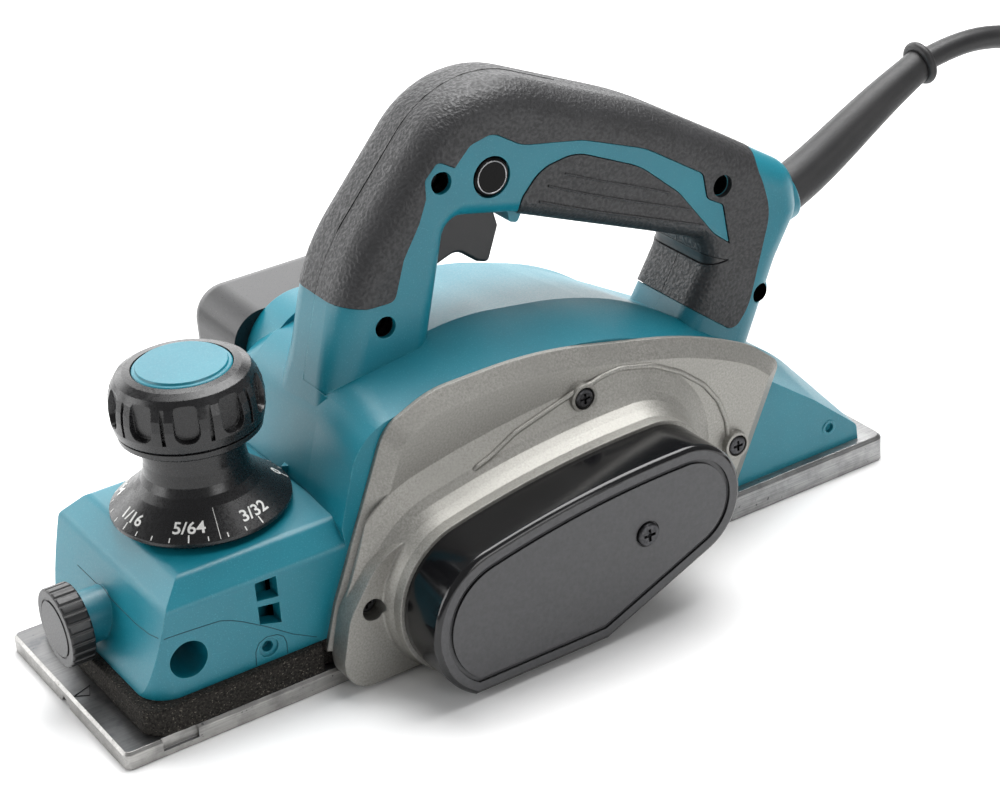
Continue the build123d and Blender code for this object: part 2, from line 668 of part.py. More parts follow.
def make_front_shoe():
    with BuildPart() as front_shoe:
        with BuildSketch(Plane.XY):
            with BuildLine():
                FilletPolyline(
                    (-10, -SOLE_HALF), (FRONT_X, -SOLE_HALF), (FRONT_X, SOLE_HALF), (-10, SOLE_HALF),
                    radius=[0, 2.5, 2.5, 0], close=True,
                )
            make_face()
        extrude(amount=SHOE_T)
        top = front_shoe.faces().sort_by(Axis.Z)[-1]
        chamfer(top.edges().filter_by(lambda e: e.center().X < -30), 0.9)
        add(y_rod(0, DRUM_Z - SHOE_LIFT, THROAT_R, -60, 60), mode=Mode.SUBTRACT)
        # Chamfering groove along the middle and side pocket for the rule
        with BuildSketch(Plane.YZ.offset(FRONT_X - 1)):
            with BuildLine():
                Polyline((-1.2, -1), (5.2, -1), (5.2, 0), (2, 3.2), (-1.2, 0), close=True)
            make_face()
        extrude(amount=78, mode=Mode.SUBTRACT)
        add(block(-98, -86.5, -45, -SOLE_HALF + 1.2, 1.8, 12), mode=Mode.SUBTRACT)
        add(z_rod(KNOB_X, 0, STUD_R, 3.6, 12), mode=Mode.SUBTRACT)
        for y in (-22, 22):
            add(z_rod(KNOB_X, y, STUD_R, 3.6, 12), mode=Mode.SUBTRACT)
    return keep(front_shoe, "front_shoe")


def make_foam_seal():
    """Foam frame that keeps chips out between the shoe and the block."""
    with BuildPart() as foam_seal:
        with BuildSketch(Plane.XY.offset(SHOE_T)):
            with Locations(((-101 - 30) / 2, 0)):
                RectangleRounded(71, 80, 7)
            with Locations(((-94 - 38) / 2, 0)):
                Rectangle(56, 66, mode=Mode.SUBTRACT)
        extrude(amount=BLOCK_BOTTOM - SHOE_T)
        add(block(-42.5, 0, -60, -BODY_HALF, 0, 20), mode=Mode.SUBTRACT)
    return keep(foam_seal, "foam_seal")


def make_depth_stud():
    with BuildPart() as depth_stud:
        add(z_rod(KNOB_X, 0, STUD_R, 3.6, 57.5))
        chamfer(depth_stud.edges().sort_by(Axis.Z)[-1], 0.8)
    return keep(depth_stud, "depth_stud")


def make_guide_pins():
    with BuildPart() as guide_pins:
        for y in (-22, 22):
            add(z_rod(KNOB_X, y, STUD_R, 3.6, 36))
    return keep(guide_pins, "shoe_guide_pins")


def make_shoe_springs():
    """Two coil springs round the guide pins that push the shoe down."""
    with BuildPart() as shoe_springs:
        for y in (-22, 22):
            with Locations((KNOB_X, y, SHOE_T + 0.4), (KNOB_X, y, 21.6)):
                Cylinder(6.2, 0.8)
                Cylinder(4.3, 0.8, mode=Mode.SUBTRACT)
            for turn in range(6):
                with Locations((KNOB_X, y, SHOE_T + 1.3 + turn * 2.6)):
                    Torus(5.4, 0.55)
            with Locations((KNOB_X + 5.4, y, (SHOE_T + 22) / 2)):
                Box(1.1, 1.1, 21 - SHOE_T)
    return keep(shoe_springs, "shoe_springs")


# ---- Depth knob ----


def make_depth_dial():
    """Skirt, neck and hub of the depth knob, turned in one piece."""
    rings = [
        (HUB_R, 42.15), (HUB_R, 51.6), (26.6, 51.6), (27.4, 52.4), (27.4, 53.4), (19.2, 60.2),
        (17.0, 62.6), (15.9, 65.2), (15.4, 69.0), (15.4, 74.4), (16.4, 75.8), (20.4, 76.9), (21.6, 77.8),
        (21.9, 79.6), (NUT_R, 79.6), (NUT_R, 42.15),
    ]
    return keep(turned(KNOB_X, 0, rings), "depth_dial")


def turned(x, y, rings):
    """Solid of revolution about a vertical axis from (radius, z) points."""
    with BuildPart() as body:
        with BuildSketch(Plane.XZ.offset(-y)):
            with BuildLine():
                Polyline(*[(x + r, z) for r, z in rings], close=True)
            make_face()
        revolve(axis=Axis((x, y, 0), (0, 0, 1)))
    return body


def finger_pocket(angle):
    """Cutter for one rounded pocket in the side of the knob's grip."""
    way = (cos(angle), sin(angle), 0)
    floor = (KNOB_X + 20.9 * way[0], 20.9 * way[1], 90.0)
    with BuildPart() as pocket:
        with BuildSketch(Plane(floor, x_dir=(-way[1], way[0], 0), z_dir=way)):
            RectangleRounded(6.8, 11.6, 2.9)
        extrude(amount=6, taper=-14)
    return pocket.part


def make_depth_grip():
    """Upper grip of the depth knob, with ten finger pockets and ten slots between them."""
    rings = [
        (NUT_R, 79.6), (21.4, 79.6), (22.3, 80.5), (22.9, 83.2), (23.0, 87.5), (22.6, 90.8), (21.6, 93.9),
        (20.0, 96.3), (17.6, 97.6), (15.2, 97.9), (15.2, 94.0), (NUT_R, 94.0),
    ]
    depth_knob_grip = turned(KNOB_X, 0, rings)
    with depth_knob_grip:
        for index in range(10):
            add(finger_pocket(radians(28 + 36 * index)), mode=Mode.SUBTRACT)
            with Locations(Location((KNOB_X, 0, 89.6), (0, 0, 46 + 36 * index))):
                with Locations((22.6, 0, 0)):
                    Box(2.4, 1.2, 12.6, mode=Mode.SUBTRACT)
    return keep(depth_knob_grip, "depth_knob_grip")


def make_depth_cap():
    rings = [(0, 94.0), (14.9, 94.0), (14.9, 97.6), (14.5, 98.0), (13.8, 98.1), (13.5, 98.8), (0, 98.8)]
    return keep(turned(KNOB_X, 0, rings), "depth_knob_cap")


def make_depth_nut():
    """Threaded insert, with the flange that holds the knob in the block."""
    rings = [
        (STUD_R + 0.06, 39.6), (11.2, 39.6), (11.2, 41.9), (NUT_R, 41.9), (NUT_R, 60), (STUD_R + 0.06, 60),
    ]
    return keep(turned(KNOB_X, 0, rings), "depth_nut")


# ---- Guide clamp screw ----


def x_rod(radius, x_low, x_high):
    """Round bar along X on the clamp screw's axis."""
    with BuildPart() as rod:
        with BuildSketch(Plane.YZ.offset(x_low)):
            with Locations((CLAMP_Y, CLAMP_Z)):
                Circle(radius)
        extrude(amount=x_high - x_low)
    return rod.part


def make_clamp_knob():
    with BuildPart() as clamp_knob:
        add(x_rod(12.4, -109, -101.4))
        fillet(clamp_knob.edges().filter_by(GeomType.CIRCLE), 0.8)
        for index in range(24):
            angle = 2 * pi * index / 24
            place = (-105.2, CLAMP_Y + 12.6 * cos(angle), CLAMP_Z + 12.6 * sin(angle))
            with Locations(Location(place, (0, 90, 0))):
                Cylinder(0.7, 8, mode=Mode.SUBTRACT)
        add(x_rod(9.4, -109.5, -108.6), mode=Mode.SUBTRACT)
        add(x_rod(8.8, -109.2, -108.6))
        add(x_rod(2.5, -104, -90), mode=Mode.SUBTRACT)
    return keep(clamp_knob, "clamp_knob")


def make_clamp_screw():
    with BuildPart() as clamp_screw:
        add(x_rod(2.5, -104, -93))
    return keep(clamp_screw, "clamp_screw")


def make_clamp_pad():
    with BuildPart() as clamp_pad:
        add(x_rod(2.4, -92.95, -90.7))
    return keep(clamp_pad, "clamp_pad")


# ---- Trigger, lock button and switch ----


def make_trigger():
    corners = [
        (14.4, 122, 3), (14.4, 113, 4), (24, 106.0, 3), (33, 109, 5), (40, 103.2, 1.5), (44, 101.8, 1.6),
        (48.4, 113, 2), (46.4, 121.2, 1.5), (30, 124, 3),
    ]
    with BuildPart() as trigger:
        add(y_prism(corners, -8, 8))
        sides = trigger.faces().filter_by(Axis.Y)
        fillet(sides.edges().filter_by(lambda e: e.center().Z < 109.5), 1.2)
        add(y_rod(PIVOT_X, PIVOT_Z, 1.56, -10, 10), mode=Mode.SUBTRACT)
    return keep(trigger, "trigger")


def make_trigger_pin():
    with BuildPart() as trigger_pin:
        add(y_rod(PIVOT_X, PIVOT_Z, 1.5, -12.3, 12.3))
    return keep(trigger_pin, "trigger_pin")


def make_lock_button():
    with BuildPart() as lock_button:
        add(y_rod(LOCK_X, LOCK_Z, LOCK_R, -17.2, -8))
        fillet(lock_button.edges().filter_by(GeomType.CIRCLE).sort_by(Axis.Y)[0], 1.0)
        add(y_rod(LOCK_X, LOCK_Z, 3, -8, 4))
    return keep(lock_button, "lock_button")


def make_switch_body():
    with BuildPart() as switch_body:
        add(block(55, 88, -9, 9, 123, 138))
        fillet(switch_body.edges().filter_by(Axis.Y), 1.2)
        add(block(61, 63, -9, -8.2, 120, 140), mode=Mode.SUBTRACT)
        add(block(80, 82, -9, -8.2, 120, 140), mode=Mode.SUBTRACT)
    return keep(switch_body, "switch_body")


# ---- Motor ----


def make_stator():
    with BuildPart() as stator_core:
        add(y_ring(MOTOR_X, MOTOR_Z, STATOR_R, STATOR_BORE_R, CORE_Y0, CORE_Y1))
        add(block(MOTOR_X - 40, MOTOR_X + 40, -40, 40, 0, BASE_T + 2), mode=Mode.SUBTRACT)
    return keep(stator_core, "stator_core")


def make_field_coils():
    """Winding heads at both ends of the stator core."""
    with BuildPart() as field_coils:
        for y_low, y_high in ((CORE_Y0 - 7, CORE_Y0), (CORE_Y1, CORE_Y1 + 5)):
            add(y_ring(MOTOR_X, MOTOR_Z, 24.4, 16.4, y_low, y_high))
        for side in (-1, 1):
            cut = block(MOTOR_X - 3, MOTOR_X + 3, -40, 40, MOTOR_Z - 30, MOTOR_Z + 30)
            add(cut, mode=Mode.SUBTRACT)
    return keep(field_coils, "field_coils")


def make_armature_shaft():
    with BuildPart() as armature_shaft:
        add(y_rod(MOTOR_X, MOTOR_Z, SHAFT_R, -72, 28.5))
        add(y_rod(MOTOR_X, MOTOR_Z, 3.5, 28.5, 35.8))
    return keep(armature_shaft, "armature_shaft")


def make_armature_core():
    """Laminated core with slots for the windings."""
    with BuildPart() as armature_core:
        add(y_ring(MOTOR_X, MOTOR_Z, CORE_R, SHAFT_R, CORE_Y0, CORE_Y1))
        for index in range(12):
            angle = 2 * pi * index / 12
            spot = (MOTOR_X + CORE_R * cos(angle), MOTOR_Z + CORE_R * sin(angle))
            add(y_rod(*spot, 1.5, CORE_Y0, CORE_Y1), mode=Mode.SUBTRACT)
    return keep(armature_core, "armature_core")


def make_armature_windings():
    with BuildPart() as armature_windings:
        for y_low, y_high in ((CORE_Y0 - 6, CORE_Y0), (CORE_Y1, CORE_Y1 + 5)):
            add(y_ring(MOTOR_X, MOTOR_Z, 12.5, SHAFT_R, y_low, y_high))
    return keep(armature_windings, "armature_windings")


def make_commutator():
    with BuildPart() as commutator:
        add(y_ring(MOTOR_X, MOTOR_Z, 9.0, SHAFT_R, CORE_Y1 + 5, 28))
        for index in range(24):
            angle = 2 * pi * index / 24
            spot = (MOTOR_X + 9.0 * cos(angle), MOTOR_Z + 9.0 * sin(angle))
            add(y_rod(*spot, 0.25, CORE_Y1 + 5.5, 27.5), mode=Mode.SUBTRACT)
    return keep(commutator, "commutator")


def radial_box(direction, r_low, r_high, y_low, y_high, half):
    """Box that lies along X outwards from the motor's axis."""
    x_low = MOTOR_X + direction * r_low
    x_high = MOTOR_X + direction * r_high
    return block(min(x_low, x_high), max(x_low, x_high), y_low, y_high, MOTOR_Z - half, MOTOR_Z + half)


def make_brushes():
    with BuildPart() as carbon_brushes:
        for direction in (-1, 1):
            add(radial_box(direction, 6, 17, 21, 26, 2.8))
        add(y_rod(MOTOR_X, MOTOR_Z, 9.06, 0, 40), mode=Mode.SUBTRACT)
    return keep(carbon_brushes, "carbon_brushes")


def make_brush_holders():
    with BuildPart() as brush_holders:
        for direction in (-1, 1):
            add(radial_box(direction, 11, 22, 19.6, 34, 4.2))
            add(radial_box(direction, 8, 19, 21, 26, 2.8), mode=Mode.SUBTRACT)
        add(y_rod(MOTOR_X, MOTOR_Z, 13.2, 28, 40), mode=Mode.SUBTRACT)
    return keep(brush_holders, "brush_holders")


def make_fan():
    """Cooling fan with twelve straight blades."""
    with BuildPart() as fan:
        add(y_ring(MOTOR_X, MOTOR_Z, 23.6, SHAFT_R, -28.2, -27))
        add(y_ring(MOTOR_X, MOTOR_Z, 7, SHAFT_R, -36.5, -27))
        for index in range(12):
            with Locations(Location((MOTOR_X, -32, MOTOR_Z), (0, 30 * index, 0))):
                with Locations((15, 0, 0)):
                    Box(17, 8.4, 1.2)
    return keep(fan, "fan")


def make_fan_baffle():
    """Ring that guides the cooling air from the windings into the fan."""
    with BuildPart() as fan_baffle:
        with BuildSketch(side_plane(-22.6)):
            outline([(40, 11, 0), (40, 66, 3), (94, 66, 3), (94, 11, 0)])
        extrude(amount=1.8)
        add(y_rod(MOTOR_X, MOTOR_Z, 18, -40, 0), mode=Mode.SUBTRACT)
        room = [
            (31, 11, 2), (31, 76, 6), (60, 79, 20), (88, 69, 20), (146, 31, 10), (160, 16, 3), (160, 11, 0),
        ]
        add(y_prism(room, -40, 0), mode=Mode.INTERSECT)
    return keep(fan_baffle, "fan_baffle")


def make_motor_bearings():
    with BuildPart() as motor_bearings:
        add(y_ring(MOTOR_X, MOTOR_Z, 11, BEARING_BORE_R, -48.2, -41.2))
        add(y_ring(MOTOR_X, MOTOR_Z, 9.5, 3.55, 30, BODY_HALF - 1))
    return keep(motor_bearings, "motor_bearings")


# ---- Cutter drum ----


def make_drum_bearings():
    with BuildPart() as drum_bearings:
        add(y_ring(0, DRUM_Z, 11, BEARING_BORE_R, -48.6, -41.6))
        add(y_ring(0, DRUM_Z, 11, BEARING_BORE_R, 42.3, 49.3))
    return keep(drum_bearings, "drum_bearings")


def make_drum():
    """Drum body with two flats cut for the knives and their clamps."""
    with BuildPart() as cutter_drum:
        add(y_ring(0, DRUM_Z, DRUM_R, SHAFT_R, -DRUM_HALF, DRUM_HALF))
        for side in (-1, 1):
            with Locations(Location((0, 0, DRUM_Z), (0, 0 if side > 0 else 180, 0))):
                with Locations((-8, 0, 17.4)):
                    Box(17, 2 * DRUM_HALF + 2, 8, align=(Align.CENTER, Align.CENTER, Align.MIN), mode=Mode.SUBTRACT)
    return keep(cutter_drum, "cutter_drum")


def make_drum_shaft():
    with BuildPart() as drum_shaft:
        add(y_rod(0, DRUM_Z, SHAFT_R, -71, 48.8))
        add(y_ring(0, DRUM_Z, 5.2, SHAFT_R, -41.5, -DRUM_HALF))
        add(y_ring(0, DRUM_Z, 5.2, SHAFT_R, DRUM_HALF, 42.2))
    return keep(drum_shaft, "drum_shaft")


def drum_side(side):
    """Location that turns a knife seat about the drum's axis."""
    return Location((0, 0, DRUM_Z), (0, 0 if side > 0 else 180, 0))


def make_knives():
    """Two reversible knives whose edges stand just proud of the drum."""
    with BuildPart() as drum_knives:
        for side in (-1, 1):
            with Locations(drum_side(side)):
                with Locations((-12.2, 0, 17.4)):
                    Box(12, 2 * DRUM_HALF, 1.2, align=(Align.CENTER, Align.CENTER, Align.MIN))
        add(y_rod(0, DRUM_Z, TIP_R, -60, 60), mode=Mode.INTERSECT)
    return keep(drum_knives, "drum_knives")


def make_knife_clamps():
    with BuildPart() as knife_clamps:
        for side in (-1, 1):
            with Locations(drum_side(side)):
                with Locations((-8.4, 0, 18.6)):
                    Box(13, 2 * DRUM_HALF - 3, 3.4, align=(Align.CENTER, Align.CENTER, Align.MIN))
        add(y_rod(0, DRUM_Z, TIP_R - 0.6, -60, 60), mode=Mode.INTERSECT)
    return keep(knife_clamps, "knife_clamps")


def make_clamp_bolts():
    """Three hexagon bolts on each knife clamp."""
    with BuildPart() as clamp_bolts:
        for side in (-1, 1):
            with Locations(drum_side(side)):
                with Locations((-6.2, -26, 22), (-6.2, 0, 22), (-6.2, 26, 22)):
                    Cylinder(2.6, 1.4, align=(Align.CENTER, Align.CENTER, Align.MIN))
    return keep(clamp_bolts, "clamp_bolts")


# ---- Belt drive ----


def pulley(x, z, radius, bore):
    """Flat-belt pulley with a low flange at each end."""
    with BuildPart() as wheel:
        add(y_ring(x, z, radius, bore, PULLEY_Y1, PULLEY_Y0))
        add(y_ring(x, z, radius + 1.4, bore, PULLEY_Y0 - 0.8, PULLEY_Y0))
        add(y_ring(x, z, radius + 1.4, bore, PULLEY_Y1, PULLEY_Y1 + 0.8))
    return wheel


def make_drive_belt():
    """Closed belt round both pulleys, a hair clear of their faces."""
    gap = hypot_to(MOTOR_X, MOTOR_Z - DRUM_Z)
    tilt = degrees(atan2(MOTOR_Z - DRUM_Z, MOTOR_X))
    with BuildPart() as drive_belt:
        for grow, mode in ((BELT_T, Mode.ADD), (0.0, Mode.SUBTRACT)):
            big = DRIVEN_R + BELT_GAP + grow
            small = DRIVE_R + BELT_GAP + grow
            lean = degrees(atan2(big - small, gap))
            with BuildSketch(side_plane(PULLEY_Y0 - 1.2)):
                with Locations((0, DRUM_Z)):
                    Circle(big)
                with Locations((MOTOR_X, MOTOR_Z)):
                    Circle(small)
                with BuildLine():
                    Polyline(*belt_corners(big, small, gap, tilt), close=True)
                make_face()
            extrude(amount=PULLEY_Y0 - PULLEY_Y1 - 2.4, mode=mode)
    return keep(drive_belt, "drive_belt")


def belt_corners(big, small, gap, tilt):
    """Tangent points of an open belt, as (x, z)."""
    lean = 90 - degrees(atan2(big - small, (gap**2 - (big - small) ** 2) ** 0.5))
    corners = []
    for x, z, radius, sign in (
        (0, DRUM_Z, big, 1), (MOTOR_X, MOTOR_Z, small, 1), (MOTOR_X, MOTOR_Z, small, -1), (0, DRUM_Z, big, -1),
    ):
        angle = radians(tilt + sign * lean)
        corners.append((x + radius * cos(angle), z + radius * sin(angle)))
    return corners


def hypot_to(dx, dz):
    """Distance between two shafts."""
    return (dx**2 + dz**2) ** 0.5


def make_driven_pulley():
    return keep(pulley(0, DRUM_Z, DRIVEN_R, SHAFT_R), "driven_pulley")


def make_drive_pulley():
    return keep(pulley(MOTOR_X, MOTOR_Z, DRIVE_R, SHAFT_R), "drive_pulley")


def make_pulley_nut():
    with BuildPart() as pulley_nut:
        with BuildSketch(shaft_plane(MOTOR_X, MOTOR_Z, PULLEY_Y1)):
            RegularPolygon(6.4, 6)
            Circle(SHAFT_R, mode=Mode.SUBTRACT)
        extrude(amount=2)
    return keep(pulley_nut, "pulley_nut")


def make_driven_pulley_nut():
    with BuildPart() as driven_pulley_nut:
        with BuildSketch(shaft_plane(0, DRUM_Z, PULLEY_Y1)):
            RegularPolygon(6.4, 6)
            Circle(SHAFT_R, mode=Mode.SUBTRACT)
        extrude(amount=1.6)
    return keep(driven_pulley_nut, "driven_pulley_nut")


# ---- Chip hood ----


def make_chip_hood():
    """Deflector that turns the chips rearwards, pushed into the outlet collar."""
    y_wall, y_far = COLLAR_END, 76.0
    top = [(-21, 46, 8), (-21, 84.6, 11), (40, 84.6, 2), (40, 46, 2)]
    inner = [(-18.8, 48.2, 6), (-18.8, 82.4, 9), (60, 82.4, 0), (60, 48.2, 0)]
    with BuildPart() as chip_hood:
        add(y_prism(top, y_wall, y_far))
        far = chip_hood.faces().sort_by(Axis.Y)[-1]
        fillet(far.edges().filter_by(lambda e: e.center().X < 39.9), 8)
        with BuildPart(mode=Mode.PRIVATE) as room:
            add(y_prism(inner, y_wall + 2.2, y_far - 2.2))
            far = room.faces().sort_by(Axis.Y)[-1]
            fillet(far.edges().filter_by(lambda e: e.center().X < 59.9), 5.8)
        add(room.part, mode=Mode.SUBTRACT)
        add(y_ring(OUTLET_X, OUTLET_Z, OUTLET_R, OUTLET_R - 2, 37.5, y_wall + 1))
        add(y_rod(OUTLET_X, OUTLET_Z, OUTLET_R - 2, 30, y_wall + 4), mode=Mode.SUBTRACT)
    return keep(chip_hood, "chip_hood")


# ---- Cord ----


def guard_plane(index):
    """Plane square to the guard at one point of its path; the cord follows the last."""
    x, z = GUARD_PATH[index]
    before = GUARD_PATH[max(index - 1, 0)]
    if index < len(GUARD_PATH) - 1:
        after = GUARD_PATH[index + 1]
    else:
        before = (x, z)
        after = (CORD_ROUTE[1][0], CORD_ROUTE[1][2])
    return Plane((x, 0, z), x_dir=(0, 1, 0), z_dir=(after[0] - before[0], 0, after[1] - before[1]))


def make_cord_guard():
    """Tapered rubber guard, with a round bead at its end."""
    with BuildPart() as cord_guard:
        for index, radius in enumerate(GUARD_RADII):
            with BuildSketch(guard_plane(index)):
                Circle(radius)
        loft()
        with Locations(guard_plane(len(GUARD_PATH) - 1).location):
            with Locations((0, 0, -1.6)):
                Torus(6.1, 1.6)
    return keep(cord_guard, "cord_guard")


def cord_radii():
    """Radius at each inner point of the cord's route."""
    points = [Vector(*p) for p in CORD_ROUTE]
    radii = []
    for before, here, after in zip(points, points[1:], points[2:]):
        turn = radians((here - before).get_angle(after - here))
        shorter = min((here - before).length, (after - here).length)
        radii.append(0.45 * shorter / sin(turn / 2) * cos(turn / 2))
    return radii


def make_cord():
    radii = cord_radii()
    with BuildPart() as cord:
        with BuildLine() as route:
            FilletPolyline(*CORD_ROUTE, radius=radii)
        with BuildSketch(Plane(route.line @ 0, z_dir=route.line % 0)):
            Circle(CORD_R)
        sweep()
    length = sum(edge.length for edge in route.edges())
    print("cord radii", [round(r, 1) for r in radii], "length", round(length, 1))
    print("cord volume", round(cord.part.volume), "section x length", round(pi * CORD_R**2 * length))
    return keep(cord, "cord")


def tail_frame():
    """Start point and direction of the cord's tail, where it leaves the coil."""
    angle = radians(TAIL_TURN)
    start = Vector(COIL_X + COIL_MID_R * cos(angle), COIL_Y + COIL_MID_R * sin(angle), TAIL_Z)
    return start, Vector(sin(angle), -cos(angle), 0)


def make_cord_coil():
    """Outer shape of the coiled cord, with its two ends."""
    end_x, end_y, end_z = CORD_ROUTE[-1]
    start, along = tail_frame()
    with BuildPart() as cord_coil:
        with BuildSketch(Plane.XY):
            with Locations((COIL_X, COIL_Y)):
                Circle(COIL_OUTER)
        extrude(amount=COIL_HEIGHT)
        fillet(cord_coil.edges(), CORD_R - 0.2)
        with Locations((COIL_X, COIL_Y, 0)):
            Cylinder(COIL_INNER, 60, mode=Mode.SUBTRACT)
        with BuildSketch(Plane((end_x, end_y, end_z), z_dir=(0, -1, 0))):
            Circle(CORD_R)
        extrude(amount=end_y - COIL_Y)
        with BuildSketch(Plane(start, z_dir=along)):
            Circle(CORD_R)
        extrude(amount=TAIL_LENGTH)
    return keep(cord_coil, "cord_coil")


def plug_plane(distance):
    """Plane square to the plug at a distance from the cord's end."""
    start, along = tail_frame()
    return Plane(start + along * (TAIL_LENGTH + distance), x_dir=(along.Y, -along.X, 0), z_dir=along)


def make_plug_body():
    """Moulded two-pin plug with a tapered strain relief."""
    with BuildPart() as plug_body:
        for distance, radius in ((0, 5.0), (26, 7.5)):
            with BuildSketch(plug_plane(distance)):
                Circle(radius)
        loft()
        for distance, width, height, corner in ((25, 16, 15, 6), (34, 26, 20, 8), (58, 34, 23.6, 8)):
            with BuildSketch(plug_plane(distance)):
                RectangleRounded(width, height, corner)
        loft()
    return keep(plug_body, "plug_body")


def make_plug_pins():
    with BuildPart() as plug_pins:
        with BuildSketch(plug_plane(58)):
            with Locations((-9.5, 0), (9.5, 0)):
                Circle(2.4)
        extrude(amount=19)
        fillet(plug_pins.edges().filter_by(GeomType.CIRCLE).sort_by(Axis.X)[:2], 1.2)
    return keep(plug_pins, "plug_pins")


# ---- Build every sub-part ----

left_core = lower_body_left()
main_housing = make_housing_nodes(housing_moulding(left_core))
handle_cover = make_handle_cover(left_core)
grip_left = make_grip(-1, "handle_grip_left")
grip_right = make_grip(1, "handle_grip_right")
belt_bracket = make_bracket()
belt_cover = make_belt_cover()
handle_screws = make_screws("handle_screws", HANDLE_SCREWS, 3.2, -10.4, 2.4, 1.6, 9)
bracket_screws = make_screws("bracket_screws", BRACKET_SCREWS, 3.3, -44.7, 2.4, 1.8, -34)
cover_screw = make_screws("belt_cover_screw", [COVER_SCREW], 3.8, -76.2, 1.8, 1.6, -60)
base_screws = make_base_screws()
rear_base = make_rear_base()
front_shoe = make_front_shoe()
foam_seal = make_foam_seal()
depth_stud = make_depth_stud()
guide_pins = make_guide_pins()
shoe_springs = make_shoe_springs()
depth_dial = make_depth_dial()
depth_grip = make_depth_grip()
depth_cap = make_depth_cap()
depth_nut = make_depth_nut()
clamp_knob = make_clamp_knob()
clamp_screw = make_clamp_screw()
clamp_pad = make_clamp_pad()
trigger = make_trigger()
trigger_pin = make_trigger_pin()
lock_button = make_lock_button()
switch_body = make_switch_body()
stator_core = make_stator()
field_coils = make_field_coils()
armature_shaft = make_armature_shaft()
armature_core = make_armature_core()
armature_windings = make_armature_windings()
commutator = make_commutator()
carbon_brushes = make_brushes()
brush_holders = make_brush_holders()
fan = make_fan()
fan_baffle = make_fan_baffle()
motor_bearings = make_motor_bearings()
drum_bearings = make_drum_bearings()
cutter_drum = make_drum()
drum_shaft = make_drum_shaft()
drum_knives = make_knives()
knife_clamps = make_knife_clamps()
clamp_bolts = make_clamp_bolts()
drive_belt = make_drive_belt()
driven_pulley = make_driven_pulley()
drive_pulley = make_drive_pulley()
pulley_nut = make_pulley_nut()
driven_pulley_nut = make_driven_pulley_nut()
chip_hood = make_chip_hood()
cord_guard = make_cord_guard()
cord = make_cord()
cord_coil = make_cord_coil()
plug_body = make_plug_body()
plug_pins = make_plug_pins()
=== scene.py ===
import json
from math import cos, pi, radians, sin

import bmesh
import bpy
from mathutils import Matrix, Vector, noise
from mathutils.bvhtree import BVHTree


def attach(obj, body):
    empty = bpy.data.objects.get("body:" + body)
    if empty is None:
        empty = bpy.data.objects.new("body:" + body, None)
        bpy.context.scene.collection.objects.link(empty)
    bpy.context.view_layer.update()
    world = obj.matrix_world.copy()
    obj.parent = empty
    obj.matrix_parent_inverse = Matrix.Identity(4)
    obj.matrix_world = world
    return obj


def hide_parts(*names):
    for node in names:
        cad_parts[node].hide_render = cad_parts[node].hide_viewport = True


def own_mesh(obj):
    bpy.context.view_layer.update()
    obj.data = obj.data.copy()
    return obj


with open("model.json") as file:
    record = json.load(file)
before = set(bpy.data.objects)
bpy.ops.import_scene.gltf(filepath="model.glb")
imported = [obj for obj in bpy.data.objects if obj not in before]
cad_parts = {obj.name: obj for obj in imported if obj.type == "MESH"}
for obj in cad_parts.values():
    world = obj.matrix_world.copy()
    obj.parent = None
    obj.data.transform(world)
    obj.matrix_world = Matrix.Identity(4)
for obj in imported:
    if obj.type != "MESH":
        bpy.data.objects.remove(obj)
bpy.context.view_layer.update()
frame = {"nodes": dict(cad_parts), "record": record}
NODES = frame["nodes"]
MM = 0.001


def mm(*point):
    """A point given in millimetres, in the scene's metres."""
    return Vector(point) * MM


# ---- Camera ----


def make_camera():
    right = Vector((0.83434, -0.547, -0.06827))
    forward = Vector((0.45838, 0.75723, -0.46529)).normalized()
    up = right.cross(forward).normalized()
    right = forward.cross(up)
    data = bpy.data.cameras.new("camera")
    data.lens = 88.46
    data.sensor_width = 36.0
    data.clip_start = 0.01
    data.clip_end = 20.0
    camera = bpy.data.objects.new("camera", data)
    turn = Matrix((right, up, -forward)).transposed()
    camera.matrix_world = Matrix.Translation((-0.3112, -0.5948, 0.4147)) @ turn.to_4x4()
    bpy.context.scene.collection.objects.link(camera)
    bpy.context.scene.camera = camera


make_camera()

# ---- Cord: free run, coil and tail on one line ----

CORD_R = 4.0
CORD_ROUTE = [
    (227, 0, 118),
    (241, 0, 120.8),
    (262, 0, 118.6),
    (284.5, 0.8, 110),
    (305, 1.5, 96),
    (322.5, 1.5, 78.5),
    (337, -0.5, 58),
    (349, -6, 38),
    (359.5, -16.5, 21.5),
    (367, -31, 10.3),
    (371.2, -48, 4.9),
    (372.5, -64, 4.05),
    (372.5, -79, 4.05),
]
COIL_CENTRE = (312.5, -113.0)
COIL_R = 60.0
COIL_LOW_Z = 4.05
COIL_HIGH_Z = 12.1
COIL_PITCH = 8.2
COIL_INNER_TURN = 3.415
COIL_STEP_TURNS = 0.7
COIL_STEP_R = 43.2
COIL_TURNS = 6.31
POINTS_PER_TURN = 24
TAIL_LENGTH = 34.0


def smooth_step(t):
    t = min(1.0, max(0.0, t))
    return t * t * (3 - 2 * t)


def coil_point(turn):
    """Centre of the cord after so many turns of the coil, in millimetres."""
    inner_r = COIL_R - COIL_PITCH * COIL_INNER_TURN
    rise = smooth_step((turn - COIL_INNER_TURN + 0.5) / 0.5)
    if turn < COIL_INNER_TURN:
        radius = COIL_R - COIL_PITCH * turn
    elif turn < COIL_INNER_TURN + COIL_STEP_TURNS:
        radius = inner_r + (COIL_STEP_R - inner_r) * (turn - COIL_INNER_TURN) / COIL_STEP_TURNS
    else:
        radius = min(COIL_R, COIL_STEP_R + COIL_PITCH * (turn - COIL_INNER_TURN - COIL_STEP_TURNS))
    angle = -2 * pi * turn
    z = COIL_LOW_Z + (COIL_HIGH_Z - COIL_LOW_Z) * rise
    return (COIL_CENTRE[0] + radius * cos(angle), COIL_CENTRE[1] + radius * sin(angle), z)


